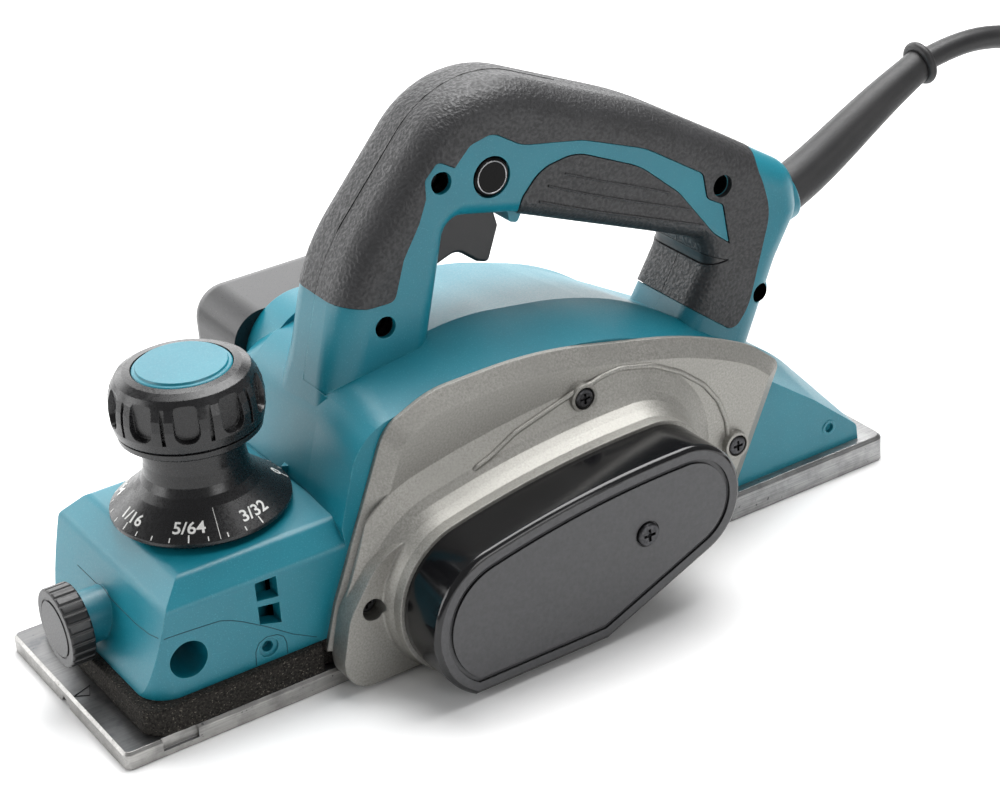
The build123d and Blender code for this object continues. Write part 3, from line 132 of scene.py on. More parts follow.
def cord_points():
    points = list(CORD_ROUTE)
    count = int(COIL_TURNS * POINTS_PER_TURN)
    points += [coil_point(COIL_TURNS * index / count) for index in range(count + 1)]
    end = points[-1]
    angle = -2 * pi * COIL_TURNS
    way = (sin(angle), -cos(angle))
    for reach in (0.5, 1.0):
        points.append((end[0] + way[0] * TAIL_LENGTH * reach, end[1] + way[1] * TAIL_LENGTH * reach, end[2]))
    return points


def make_cord():
    curve = bpy.data.curves.new("cord_flex", "CURVE")
    curve.dimensions = "3D"
    curve.resolution_u = 6
    spline = curve.splines.new("NURBS")
    points = cord_points()
    spline.points.add(len(points) - 1)
    for control, point in zip(spline.points, points):
        control.co = (*mm(*point), 1.0)
        control.radius = CORD_R * MM
    spline.order_u = 3
    spline.use_endpoint_u = True
    flex = bpy.data.objects.new("cord_flex", curve)
    bpy.context.scene.collection.objects.link(flex)
    bare = bpy.data.meshes.new_from_object(flex)
    bpy.data.meshes.remove(bare)
    curve.bevel_depth = 1.0
    curve.bevel_resolution = 5
    curve.use_fill_caps = True
    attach(flex, "body")
    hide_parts("cord", "cord_coil")
    return flex


cord_flex = make_cord()

# ---- Materials ----


BEVEL_SAMPLES = 4
MASK_SOFTNESS = 0.1


class Nodes:
    """Shorthand for building one material's node tree."""

    def __init__(self, name):
        self.material = bpy.data.materials.new(name)
        self.material.use_nodes = True
        self.tree = self.material.node_tree
        self.shader = self.tree.nodes["Principled BSDF"]
        self.coords = self.tree.nodes.new("ShaderNodeTexCoord").outputs["Object"]
        self.normal = None

    def set(self, **values):
        """Fixed values of the shader's inputs, with _ for a space in a name."""
        for key, value in values.items():
            self.shader.inputs[key.replace("_", " ")].default_value = value

    def link(self, source, target):
        self.tree.links.new(source, target)

    def stretch(self, scale):
        """Object coordinates scaled by three numbers."""
        mapping = self.tree.nodes.new("ShaderNodeMapping")
        mapping.inputs["Scale"].default_value = scale
        self.link(self.coords, mapping.inputs["Vector"])
        return mapping.outputs["Vector"]

    def noise(self, size, detail=2.0, roughness=0.5, vector=None, distortion=0.0):
        """Noise with features about size metres across."""
        node = self.tree.nodes.new("ShaderNodeTexNoise")
        node.inputs["Scale"].default_value = 1.0 / size
        node.inputs["Detail"].default_value = detail
        node.inputs["Roughness"].default_value = roughness
        node.inputs["Distortion"].default_value = distortion
        self.link(vector or self.coords, node.inputs["Vector"])
        return node.outputs["Fac"]

    def cells(self, size, vector):
        """Distance to the middle of cells about size metres across."""
        node = self.tree.nodes.new("ShaderNodeTexVoronoi")
        node.inputs["Scale"].default_value = 1.0 / size
        self.link(vector, node.inputs["Vector"])
        return node.outputs["Distance"]

    def ramp(self, factor, low, high, start=0.0, end=1.0):
        """Maps factor from start..end to low..high."""
        node = self.tree.nodes.new("ShaderNodeMapRange")
        node.inputs["From Min"].default_value = start
        node.inputs["From Max"].default_value = end
        node.inputs["To Min"].default_value = low
        node.inputs["To Max"].default_value = high
        self.link(factor, node.inputs["Value"])
        return node.outputs["Result"]

    def math(self, operation, a, b):
        node = self.tree.nodes.new("ShaderNodeMath")
        node.operation = operation
        for socket, value in zip(node.inputs, (a, b)):
            if isinstance(value, (int, float)):
                socket.default_value = value
            else:
                self.link(value, socket)
        return node.outputs["Value"]

    def blend(self, factor, first, second):
        """Colour between first and second. Each is a colour or a socket."""
        node = self.tree.nodes.new("ShaderNodeMix")
        node.data_type = "RGBA"
        self.link(factor, node.inputs["Factor"])
        for name, value in (("A", first), ("B", second)):
            socket = [s for s in node.inputs if s.name == name and s.type == "RGBA"][0]
            if isinstance(value, tuple):
                socket.default_value = (*value, 1.0)
            else:
                self.link(value, socket)
        return [s for s in node.outputs if s.type == "RGBA"][0]

    def colour(self, socket):
        self.link(socket, self.shader.inputs["Base Color"])

    def roughness(self, socket):
        self.link(socket, self.shader.inputs["Roughness"])

    def bump(self, height, distance, strength):
        """Adds a bump whose full height is distance metres."""
        node = self.tree.nodes.new("ShaderNodeBump")
        node.inputs["Strength"].default_value = strength
        node.inputs["Distance"].default_value = distance
        self.link(height, node.inputs["Height"])
        if self.normal is not None:
            self.link(self.normal, node.inputs["Normal"])
        self.normal = node.outputs["Normal"]
        self.link(self.normal, self.shader.inputs["Normal"])

    def bevel(self, radius):
        """Normal of a surface whose hard edges are rounded by radius metres."""
        node = self.tree.nodes.new("ShaderNodeBevel")
        node.samples = BEVEL_SAMPLES
        node.inputs["Radius"].default_value = radius
        return node.outputs["Normal"]

    def rounded(self, radius):
        """Softens hard edges in the shading."""
        self.normal = self.bevel(radius)
        self.link(self.normal, self.shader.inputs["Normal"])

    def facing(self, axis, start, end):
        """0 to 1 as the surface turns along an axis of the object."""
        coords = self.tree.nodes.new("ShaderNodeTexCoord")
        split = self.tree.nodes.new("ShaderNodeSeparateXYZ")
        self.link(coords.outputs["Normal"], split.inputs[0])
        return self.ramp(split.outputs[axis], 0.0, 1.0, start, end)

    def inside(self, axis, low, high):
        """1 between two positions along an axis, in millimetres, else 0."""
        split = self.tree.nodes.new("ShaderNodeSeparateXYZ")
        self.link(self.coords, split.inputs[0])
        place = split.outputs[axis]
        rise = self.ramp(place, 0.0, 1.0, (low - MASK_SOFTNESS) * MM, (low + MASK_SOFTNESS) * MM)
        fall = self.ramp(place, 1.0, 0.0, (high - MASK_SOFTNESS) * MM, (high + MASK_SOFTNESS) * MM)
        return self.math("MULTIPLY", rise, fall)

    def edges(self, radius):
        """About 1 near sharp edges and 0 on flat areas."""
        geometry = self.tree.nodes.new("ShaderNodeNewGeometry")
        dot = self.tree.nodes.new("ShaderNodeVectorMath")
        dot.operation = "DOT_PRODUCT"
        self.link(self.bevel(radius), dot.inputs[0])
        self.link(geometry.outputs["Normal"], dot.inputs[1])
        return self.ramp(dot.outputs["Value"], 1.0, 0.0, 0.80, 0.995)


# Part of the rear post that is rubber, on teal parts
RUBBER_BAND_X = (116.0, 131.0)
RUBBER_BAND_Z = (78.0, 86.5)


MOULDED_EDGE = 0.0003


def moulded(name, base, light, dark, roughness, speck=0.0, grain=0.0006, grain_height=0.00002,
            specular=0.5, banded=False):
    """Moulded plastic: fine grain, soft colour drift, worn edges and optional glass-fibre specks."""
    m = Nodes(name)
    m.rounded(MOULDED_EDGE)
    drift = m.noise(0.03, 3.0, 0.6)
    colour = m.blend(m.ramp(drift, 0.0, 1.0, 0.3, 0.7), dark, base)
    patches = m.ramp(m.noise(0.004, 4.0, 0.7), 0.0, 0.8, 0.42, 0.62)
    wear = m.math("MULTIPLY", m.edges(MOULDED_EDGE * 2.0), patches)
    colour = m.blend(wear, colour, light)
    fine = m.noise(grain, 3.0, 0.6)
    if speck:
        sparkle = m.ramp(m.noise(0.00045, 1.0, 0.5), 0.0, speck, 0.60, 0.74)
        colour = m.blend(sparkle, colour, light)
    if banded:
        band = m.math("MULTIPLY", m.inside("X", *RUBBER_BAND_X), m.inside("Z", *RUBBER_BAND_Z))
        colour = m.blend(band, colour, m.blend(fine, (0.010, 0.010, 0.011), (0.03, 0.03, 0.032)))
    m.colour(colour)
    m.roughness(m.ramp(fine, roughness - 0.06, roughness + 0.08, 0.3, 0.7))
    m.bump(fine, grain_height, 0.6)
    m.set(Specular_IOR_Level=specular)
    return m.material


def gloss_cover():
    """Gloss wall and rim, satin face whose lighter grey is partly its own colour and partly a painted sheen of the
    floor's reflection.
    """
    m = Nodes("cover_plastic_gloss")
    m.rounded(0.0004)
    fine = m.noise(0.0012, 3.0, 0.6)
    drift = m.noise(0.03, 3.0, 0.6)
    face = m.facing("Y", -0.97, -0.999)
    wall = m.blend(m.ramp(drift, 0.0, 1.0, 0.3, 0.7), (0.003, 0.003, 0.0035), (0.007, 0.007, 0.008))
    # The inset face's lighter grey: its satin colour, raised to paint the sheen of the floor's reflection.
    satin_and_painted_sheen = m.blend(m.ramp(fine, 0.0, 1.0, 0.3, 0.7), (0.046, 0.046, 0.049), (0.066, 0.066, 0.070))
    m.colour(m.blend(face, wall, satin_and_painted_sheen))
    gloss = m.ramp(fine, 0.10, 0.16, 0.3, 0.7)
    m.roughness(m.math("ADD", gloss, m.math("MULTIPLY", face, 0.28)))
    m.bump(fine, 0.000004, 0.5)
    return m.material


def pebbled_rubber():
    """Grip rubber with a pebbled skin."""
    m = Nodes("grip_rubber_pebbled")
    drift = m.noise(0.02, 2.0, 0.5)
    pebbles = m.noise(0.0011, 2.0, 0.45)
    hollow = m.ramp(pebbles, 0.0, 1.0, 0.36, 0.66)
    colour = m.blend(hollow, (0.010, 0.010, 0.011), (0.026, 0.026, 0.028))
    colour = m.blend(m.ramp(drift, 0.0, 0.25, 0.35, 0.7), colour, (0.04, 0.04, 0.043))
    m.colour(colour)
    m.roughness(m.ramp(pebbles, 0.60, 0.38, 0.35, 0.7))
    m.bump(hollow, 0.00016, 0.8)
    m.set(Specular_IOR_Level=0.6)
    return m.material


def cast_metal():
    """Satin cast aluminium with a fine grain."""
    m = Nodes("cast_aluminium_satin")
    m.rounded(0.0006)
    grain = m.noise(0.0007, 3.0, 0.7)
    drift = m.noise(0.018, 3.0, 0.55)
    colour = m.blend(m.ramp(grain, 0.0, 1.0, 0.3, 0.7), (0.25, 0.245, 0.225), (0.43, 0.42, 0.395))
    colour = m.blend(m.ramp(drift, 0.0, 0.4, 0.35, 0.7), colour, (0.30, 0.295, 0.275))
    m.colour(colour)
    m.roughness(m.ramp(grain, 0.46, 0.60, 0.3, 0.7))
    m.bump(grain, 0.00003, 0.7)
    m.set(Metallic=0.85, Specular_IOR_Level=0.5)
    return m.material


def brushed_metal(name, light, dark, roughness, top_darkening=0.0):
    """Machined aluminium with tool marks along X, stains, nicks and scratches."""
    m = Nodes(name)
    m.rounded(0.0003)
    marks = m.noise(0.0005, 3.0, 0.6, m.stretch((0.03, 1.0, 1.0)))
    stains = m.noise(0.007, 5.0, 0.65)
    streaks = m.noise(0.0025, 6.0, 0.75, m.stretch((0.15, 1.0, 1.0)), 1.5)
    scratches = m.ramp(streaks, 0.0, 1.0, 0.55, 0.68)
    colour = m.blend(m.ramp(marks, 0.0, 1.0, 0.3, 0.7), dark, light)
    colour = m.blend(m.ramp(stains, 0.0, 0.6, 0.42, 0.72), colour, tuple(0.45 * c for c in dark))
    nicks = m.ramp(m.noise(0.0016, 2.0, 0.5), 0.0, 0.7, 0.70, 0.76)
    colour = m.blend(nicks, colour, (0.06, 0.06, 0.065))
    # Optionally darkens up-facing faces towards a dark blue-grey, most where the stain noise is low.
    if top_darkening:
        top_dark_amount = m.ramp(stains, top_darkening, 0.6 * top_darkening, 0.35, 0.65)
        top = m.math("MULTIPLY", m.facing("Z", 0.9, 0.99), top_dark_amount)
        colour = m.blend(top, colour, (0.075, 0.08, 0.088))
    m.colour(colour)
    m.roughness(m.ramp(scratches, roughness, roughness + 0.15, 0.0, 1.0))
    m.bump(marks, 0.000008, 0.5)
    m.set(Metallic=0.9, Anisotropic=0.4)
    return m.material


def turned_metal(name, light, dark, roughness):
    """Turned or ground metal with fine marks and faint stains."""
    m = Nodes(name)
    m.rounded(0.0002)
    fine = m.noise(0.0008, 4.0, 0.65)
    stains = m.noise(0.005, 4.0, 0.6)
    colour = m.blend(m.ramp(fine, 0.0, 1.0, 0.3, 0.7), dark, light)
    colour = m.blend(m.ramp(stains, 0.0, 0.3, 0.45, 0.7), colour, tuple(0.5 * c for c in dark))
    m.colour(colour)
    m.roughness(m.ramp(stains, roughness - 0.05, roughness + 0.12, 0.3, 0.7))
    m.bump(fine, 0.00001, 0.5)
    m.set(Metallic=1.0)
    return m.material


def copper_wire():
    """Lacquered winding wire, strands along Y."""
    m = Nodes("copper_winding_wire")
    strands = m.cells(0.0011, m.stretch((1.0, 0.12, 1.0)))
    colour = m.blend(m.ramp(strands, 1.0, 0.0, 0.1, 0.6), (0.12, 0.03, 0.012), (0.62, 0.24, 0.09))
    m.colour(colour)
    m.bump(m.ramp(strands, 1.0, 0.0, 0.0, 0.6), 0.0003, 0.8)
    m.roughness(m.ramp(m.noise(0.002), 0.25, 0.45, 0.3, 0.7))
    m.set(Metallic=0.9, Coat_Weight=0.4, Coat_Roughness=0.2)
    return m.material


def stacked_steel():
    """Laminated sheet stack: thin plates side by side along Y."""
    m = Nodes("lamination_steel_stack")
    plates = m.noise(0.0006, 1.0, 0.5, m.stretch((0.02, 1.0, 0.02)))
    colour = m.blend(m.ramp(plates, 0.0, 1.0, 0.35, 0.65), (0.06, 0.06, 0.065), (0.32, 0.32, 0.33))
    m.colour(colour)
    m.roughness(m.ramp(plates, 0.55, 0.35, 0.3, 0.7))
    m.bump(plates, 0.00006, 0.7)
    m.set(Metallic=0.9)
    return m.material


def belt_rubber():
    """Dull black rubber of the drive belt."""
    m = Nodes("belt_rubber_black")
    grain = m.noise(0.0008, 3.0, 0.6)
    colour = m.blend(m.ramp(grain, 0.0, 1.0, 0.3, 0.7), (0.008, 0.008, 0.008), (0.028, 0.027, 0.026))
    m.colour(colour)
    m.roughness(m.ramp(grain, 0.5, 0.75, 0.3, 0.7))
    m.bump(grain, 0.00004, 0.6)
    return m.material


def open_foam():
    """Black open-cell foam with pale specks."""
    m = Nodes("foam_open_cell")
    pores = m.noise(0.0008, 3.0, 0.7)
    deep = m.noise(0.0022, 4.0, 0.7)
    colour = m.blend(m.ramp(pores, 0.0, 1.0, 0.36, 0.62), (0.0035, 0.0033, 0.003), (0.034, 0.031, 0.027))
    colour = m.blend(m.ramp(m.noise(0.0006, 1.0, 0.5), 0.0, 0.75, 0.64, 0.74), colour, (0.17, 0.155, 0.13))
    m.colour(colour)
    m.roughness(m.ramp(deep, 0.8, 0.95, 0.3, 0.7))
    m.bump(pores, 0.0005, 0.9)
    m.set(Specular_IOR_Level=0.2)
    return m.material


def smooth_flex():
    """Matte outer rubber of the cord."""
    m = Nodes("cord_rubber_matte")
    fine = m.noise(0.0007, 3.0, 0.6)
    drift = m.noise(0.02, 3.0, 0.6)
    colour = m.blend(m.ramp(drift, 0.0, 1.0, 0.3, 0.7), (0.010, 0.010, 0.011), (0.022, 0.021, 0.022))
    m.colour(colour)
    m.roughness(m.ramp(fine, 0.40, 0.56, 0.3, 0.7))
    m.bump(fine, 0.00003, 0.6)
    m.set(Specular_IOR_Level=0.5)
    return m.material


MATERIALS = {
    "teal_plastic": moulded(
        "teal_plastic_body", (0.002, 0.188, 0.252), (0.07, 0.38, 0.46), (0.001, 0.160, 0.220), 0.38,
        speck=0.26, specular=0.6, banded=True,
    ),
    "grip_rubber": pebbled_rubber(),
    "cast_aluminium": cast_metal(),
    "machined_aluminium": brushed_metal(
        "machined_aluminium_brushed", (0.44, 0.44, 0.435), (0.27, 0.27, 0.275), 0.36,
    ),
    "cover_plastic": gloss_cover(),
    "hood_plastic": moulded(
        "hood_plastic_dark", (0.016, 0.016, 0.018), (0.06, 0.06, 0.06), (0.011, 0.011, 0.012), 0.32,
    ),
    "black_plastic": moulded(
        "black_plastic_fine", (0.009, 0.009, 0.010), (0.05, 0.05, 0.05), (0.006, 0.006, 0.007), 0.34,
    ),
    "knob_plastic": moulded(
        "knob_plastic_satin", (0.010, 0.010, 0.011), (0.03, 0.03, 0.03), (0.007, 0.007, 0.008), 0.27,
        grain=0.001, grain_height=0.000005,
    ),
    "zinc_steel": turned_metal("zinc_steel_dull", (0.62, 0.61, 0.57), (0.36, 0.35, 0.33), 0.34),
    "ground_steel": turned_metal("ground_steel_bright", (0.66, 0.66, 0.66), (0.46, 0.46, 0.47), 0.22),
    "lamination_steel": stacked_steel(),
    "copper_winding": copper_wire(),
    "brass": turned_metal("brass_turned", (0.78, 0.56, 0.22), (0.52, 0.35, 0.12), 0.28),
    "carbon": turned_metal("carbon_block", (0.05, 0.05, 0.052), (0.02, 0.02, 0.022), 0.55),
    "belt_rubber": belt_rubber(),
    "foam": open_foam(),
    "cord_rubber": smooth_flex(),
    "knife_steel": turned_metal("knife_steel_honed", (0.70, 0.70, 0.71), (0.52, 0.52, 0.53), 0.16),
    "fan_plastic": moulded(
        "fan_plastic_grey", (0.05, 0.05, 0.053), (0.11, 0.11, 0.11), (0.035, 0.035, 0.037), 0.42,
    ),
}
SHOE_METAL = brushed_metal(
    "machined_aluminium_stains_dark_top", (0.50, 0.49, 0.475), (0.34, 0.335, 0.325), 0.36, top_darkening=0.85,
)
# Light grey metal for the ring round the lock button: a painted highlight of the black button's rounded rim.
RIM_PAINTED_HIGHLIGHT = turned_metal("button_rim_painted_highlight", (0.55, 0.55, 0.56), (0.32, 0.32, 0.33), 0.25)
BUTTON_BLACK = moulded(
    "button_black_gloss", (0.002, 0.002, 0.002), (0.02, 0.02, 0.02), (0.001, 0.001, 0.001), 0.2, specular=0.12,
)
BLACK_OXIDE = turned_metal("screw_black_oxide", (0.10, 0.10, 0.105), (0.035, 0.035, 0.037), 0.36)
SEAM_DARK = moulded("seam_shadow_teal", (0.002, 0.050, 0.070), (0.004, 0.07, 0.09), (0.001, 0.036, 0.052), 0.6)
BLACK_SCREWS = ["handle_screws", "bracket_screws", "belt_cover_screw"]


def paint(obj, material):
    obj.data.materials.clear()
    obj.data.materials.append(material)


SLOT_OF = {row["node"]: row["material_slot"] for row in frame["record"]["subparts"]}
for node_name, node_object in NODES.items():
    for material_slot in node_object.material_slots:
        material_slot.material = MATERIALS[SLOT_OF[node_name]]
    if not node_object.material_slots:
        node_object.data.materials.append(MATERIALS[SLOT_OF[node_name]])
for node_name in BLACK_SCREWS:
    paint(NODES[node_name], BLACK_OXIDE)
paint(NODES["front_shoe"], SHOE_METAL)
paint(NODES["lock_button"], BUTTON_BLACK)
cord_flex.data.materials.append(MATERIALS["cord_rubber"])

# ---- Helpers for new pieces ----


def mesh_from(name, mesh):
    """Mesh data from a bmesh, which is freed."""
    data = bpy.data.meshes.new(name)
    mesh.to_mesh(data)
    mesh.free()
    return data


def mesh_object(name, mesh_data, material, body):
    """A new visible piece on one body."""
    obj = bpy.data.objects.new(name, mesh_data)
    bpy.context.scene.collection.objects.link(obj)
    paint(obj, material)
    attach(obj, body)
    return obj


def tube_mesh(name, paths, radius, smooth=True):
    """Round bars along lines given in millimetres."""
    curve = bpy.data.curves.new(name, "CURVE")
    curve.dimensions = "3D"
    curve.bevel_depth = radius * MM
    curve.bevel_resolution = 3
    curve.resolution_u = 8
    curve.use_fill_caps = True
    for path in paths:
        spline = curve.splines.new("NURBS" if smooth else "POLY")
        spline.points.add(len(path) - 1)
        for control, point in zip(spline.points, path):
            control.co = (*mm(*point), 1.0)
        if smooth:
            spline.order_u = 3
            spline.use_endpoint_u = True
    holder = bpy.data.objects.new(name, curve)
    bpy.context.scene.collection.objects.link(holder)
    bpy.context.view_layer.update()
    mesh = bpy.data.meshes.new_from_object(holder)
    bpy.data.objects.remove(holder)
    return mesh


# ---- Housing skin: the moulding's pieces joined into one ----

HOUSING_NODES = ["main_housing", "guide_nose", "front_block", "handle_housing"]
CONTACT = 0.00002


def buried(face, trees):
    """True where a face lies against another piece's face."""
    centre = face.calc_center_median()
    for tree in trees:
        hit, normal, index, distance = tree.find_nearest(centre, CONTACT)
        if hit is not None and normal.dot(face.normal) < -0.99:
            return True
    return False


def make_housing_skin():
    """One skin from the moulding's pieces, without the faces where they meet."""
    meshes = []
    for name in HOUSING_NODES:
        mesh = bmesh.new()
        mesh.from_mesh(NODES[name].data)
        mesh.normal_update()
        meshes.append(mesh)
    trees = [BVHTree.FromBMesh(mesh) for mesh in meshes]
    pieces = []
    for index, mesh in enumerate(meshes):
        others = [tree for number, tree in enumerate(trees) if number != index]
        drop = [face for face in mesh.faces if buried(face, others)]
        bmesh.ops.delete(mesh, geom=drop, context="FACES")
        data = NODES[HOUSING_NODES[index]].data.copy()
        mesh.to_mesh(data)
        mesh.free()
        piece = bpy.data.objects.new("housing_skin", data)
        bpy.context.scene.collection.objects.link(piece)
        pieces.append(piece)
    skin = pieces[0]
    chosen = {"active_object": skin, "object": skin, "selected_objects": pieces, "selected_editable_objects": pieces}
    with bpy.context.temp_override(**chosen):
        bpy.ops.object.join()
    paint(skin, MATERIALS["teal_plastic"])
    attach(skin, "body")
    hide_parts(*HOUSING_NODES)


make_housing_skin()

# ---- Foam seal and shoe springs ----

SHOE_TOP = 5.6
FOAM_TOP = 14.5
FOAM_OUTER = (-101.0, -30.0, -40.0, 40.0)
FOAM_INNER = (-94.0, -38.0, -33.0, 33.0)
FOAM_CORNER = 7.0
FOAM_STEP_X = -42.5
FOAM_STEP_Y = -37.0
FOAM_SPACING = 0.9
FOAM_SIDE_STEPS = 10
FOAM_TOP_STEPS = 8
CORNER_STEPS = 8
CELL_SIZE = 1.1
CELL_DEPTH = 0.42
CELL_SHIFTS = [(0, 0, 0), (7, 3, 1), (2, 9, 5)]


def rounded_loop(box, radius, spacing):
    """Points round a rounded rectangle, counter-clockwise, about spacing apart."""
    x0, x1, y0, y1 = box
    points = []
    corners = [(x1 - radius, y0 + radius, -90), (x1 - radius, y1 - radius, 0),
               (x0 + radius, y1 - radius, 90), (x0 + radius, y0 + radius, 180)]
    for cx, cy, start in corners:
        for index in range(CORNER_STEPS + 1):
            angle = radians(start + 90 * index / CORNER_STEPS)
            points.append((cx + radius * cos(angle), cy + radius * sin(angle)))
    dense = []
    for a, b in zip(points, points[1:] + points[:1]):
        gap = ((b[0] - a[0]) ** 2 + (b[1] - a[1]) ** 2) ** 0.5
        count = max(1, int(round(gap / spacing)))
        dense += [(a[0] + (b[0] - a[0]) * k / count, a[1] + (b[1] - a[1]) * k / count) for k in range(count)]
    return dense


def open_cells(point):
    """Moves a point of the foam's skin in and out like torn cells."""
    cell = Vector(point) / CELL_SIZE
    way = Vector([noise.noise(cell + Vector(shift)) for shift in CELL_SHIFTS])
    return Vector(point) + way * CELL_DEPTH


def foam_section():
    """Outline of the foam bar: 0 to 1 from its outer to its inner side, and height."""
    height = FOAM_TOP - SHOE_TOP
    up = [SHOE_TOP + height * k / FOAM_SIDE_STEPS for k in range(FOAM_SIDE_STEPS + 1)]
    down = [FOAM_TOP - height * k / FOAM_SIDE_STEPS for k in range(FOAM_SIDE_STEPS + 1)]
    across = [k / FOAM_TOP_STEPS for k in range(1, FOAM_TOP_STEPS)]
    return (
        [(0.0, z) for z in up] + [(part, FOAM_TOP) for part in across]
        + [(1.0, z) for z in down] + [(1.0 - part, SHOE_TOP) for part in across]
    )


def close_rings(mesh, rings):
    """Skins a closed chain of closed rings."""
    count = len(rings[0])
    for first, second in zip(rings, rings[1:] + rings[:1]):
        for k in range(count):
            j = (k + 1) % count
            mesh.faces.new((first[k], second[k], second[j], first[j]))
    bmesh.ops.recalc_face_normals(mesh, faces=mesh.faces)


def make_foam():
    """Foam frame with a torn open-cell skin."""
    outer = rounded_loop(FOAM_OUTER, FOAM_CORNER, FOAM_SPACING)
    section = foam_section()
    mesh = bmesh.new()
    rings = []
    x0, x1, y0, y1 = FOAM_INNER
    for x, y in outer:
        inner = (min(x1, max(x0, x)), min(y1, max(y0, y)))
        ring = []
        if x > FOAM_STEP_X:
            y = max(y, FOAM_STEP_Y)
        for across, z in section:
            px = x + (inner[0] - x) * across
            py = y + (inner[1] - y) * across
            moved = open_cells((px, py, z))
            moved.x = min(FOAM_OUTER[1], max(FOAM_OUTER[0], moved.x))
            moved.y = min(FOAM_OUTER[3], max(FOAM_OUTER[2], moved.y))
            moved.z = min(FOAM_TOP, max(SHOE_TOP, moved.z))
            ring.append(mesh.verts.new(mm(*moved)))
        rings.append(ring)
    close_rings(mesh, rings)
    for face in mesh.faces:
        face.smooth = True
    foam = mesh_object("foam_frame", mesh_from("foam_frame", mesh), MATERIALS["foam"], "body")
    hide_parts("foam_seal")
    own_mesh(foam)


KNOB_X = -58.0
SPRING_Y = (-22.0, 22.0)
SPRING_R = 5.3
SPRING_WIRE_R = 0.55
SPRING_LOW = 6.2
SPRING_HIGH = 21.4
SPRING_TURNS = 6.5
STEPS_PER_TURN = 20
EASED_PART = 0.35


def make_springs():
    """Two compression springs with closed end turns."""
    paths = []
    count = int(SPRING_TURNS * STEPS_PER_TURN)
    for y in SPRING_Y:
        path = []
        for index in range(count + 1):
            turn = SPRING_TURNS * index / count
            rise = smooth_step((turn - 0.4) / (SPRING_TURNS - 0.8)) * EASED_PART
            rise += (1 - EASED_PART) * min(1.0, max(0.0, (turn - 0.6) / (SPRING_TURNS - 1.2)))
            z = SPRING_LOW + (SPRING_HIGH - SPRING_LOW) * rise
            path.append((KNOB_X + SPRING_R * cos(2 * pi * turn), y + SPRING_R * sin(2 * pi * turn), z))
        paths.append(path)
    data = tube_mesh("shoe_spring_coils", paths, SPRING_WIRE_R)
    coils = mesh_object("shoe_spring_coils", data, MATERIALS["ground_steel"], "body")
    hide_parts("shoe_springs")
    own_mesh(coils)


make_foam()
make_springs()

# ---- Surface details ----

# Lines as (x, z) on a face, or (x, y, z), in millimetres
INSERT_RIBS = [
    [(67.5, 127.5), (76, 123.4), (86, 119.0), (95.5, 115.0), (106, 110.0)],
    [(61.2, 125.3), (72, 120.0), (84, 114.7), (95.3, 109.8), (114, 102.0)],
    [(57.6, 121.2), (70, 115.4), (83, 109.8), (95.0, 104.9), (119, 95.0)],
]
INSERT_FACE_Y = -17.35
INSERT_RIB_R = 0.42
BRACKET_RIB = [
    (-15.6, 34.6), (-3.5, 46.0), (11.0, 55.6), (27.0, 63.2), (44.5, 67.7), (56.0, 70.3), (67.0, 70.9),
    (79.0, 67.9), (89.6, 62.0), (98.5, 54.6), (104.0, 47.0), (107.0, 39.0), (107.6, 31.3),
]
BRACKET_FACE_Y = -43.0
BRACKET_RIB_R = 0.9
FRONT_SEAM = [
    (-92.5, 20.0, 33.6), (-92.5, 6.7, 33.6), (-92.5, -9.9, 33.2), (-92.5, -20.7, 33.1), (-92.2, -29.0, 33.7),
    (-91.7, -34.6, 34.9), (-89.6, -36.7, 35.4), (-86.1, -37.0, 35.3), (-80.0, -37.0, 34.9),
    (-73.3, -37.0, 34.4), (-69.6, -37.0, 33.0), (-66.3, -37.0, 31.2), (-59.0, -37.0, 26.5),
    (-51.0, -37.0, 20.6), (-43.4, -37.0, 16.4),
]
SCREW_PAD = [
    (-63.9, -37.0, 14.9), (-63.6, -37.0, 19.4), (-62.2, -37.0, 22.0), (-59.5, -37.0, 23.1),
    (-56.0, -37.0, 22.5), (-54.0, -37.0, 21.0), (-53.3, -37.0, 18.6), (-53.4, -37.0, 14.9),
]
HOUSING_SEAM_R = 0.13
GRIP_SEAM = [
    (-12.6, 0, 104.0), (-10.6, 0, 110.3), (-2.1, 0, 124.5), (9.3, 0, 137.0), (22.7, 0, 151.6),
    (30.8, 0, 157.0), (36.8, 0, 159.3), (44.0, 0, 160.6), (49.8, 0, 160.5), (64.0, 0, 160.2), (80.0, 0, 157.4),
]
FINE_LINE_R = 0.22
HANDLE_SCREWS = [(24.3, 136.6), (1.0, 97.0), (127.0, 106.2), (142.1, 63.4)]
WELL_SIDES = 32
WELL_RINGS = [(3.47, -8.2), (3.47, -15.2), (3.38, -15.4), (3.3, -15.2), (3.3, -8.2)]
LOCK_CENTRE = (41.7, 133.6)
LOCK_HIGHLIGHT_R = 5.0
LOCK_HIGHLIGHT_Y = -17.15
LOCK_HIGHLIGHT_STEP = 15
SHOE_MARK = [(-109.0, -3.7), (-102.7, -1.4), (-105.0, -6.2), (-109.0, -3.7)]


def surface_tree(*names):
    """Search tree over the surfaces of some CAD parts."""
    mesh = bmesh.new()
    for name in names:
        mesh.from_mesh(NODES[name].data)
    tree = BVHTree.FromBMesh(mesh)
    mesh.free()
    return tree


def on_surface(tree, path, spacing, lift):
    """Resamples a line and moves every point to the surface, lift millimetres off it."""
    dense = []
    for a, b in zip(path, path[1:]):
        gap = (Vector(b) - Vector(a)).length
        count = max(1, int(gap / spacing))
        dense += [Vector(a).lerp(Vector(b), k / count) for k in range(count)]
    dense.append(Vector(path[-1]))
    points = []
    for point in dense:
        hit, normal, index, distance = tree.find_nearest(point * MM)
        points.append(tuple(hit / MM + normal * lift))
    return points


def add_lines(name, paths, radius, material, body, smooth=False):
    data = tube_mesh(name, paths, radius, smooth)
    mesh_object(name, data, material, body)


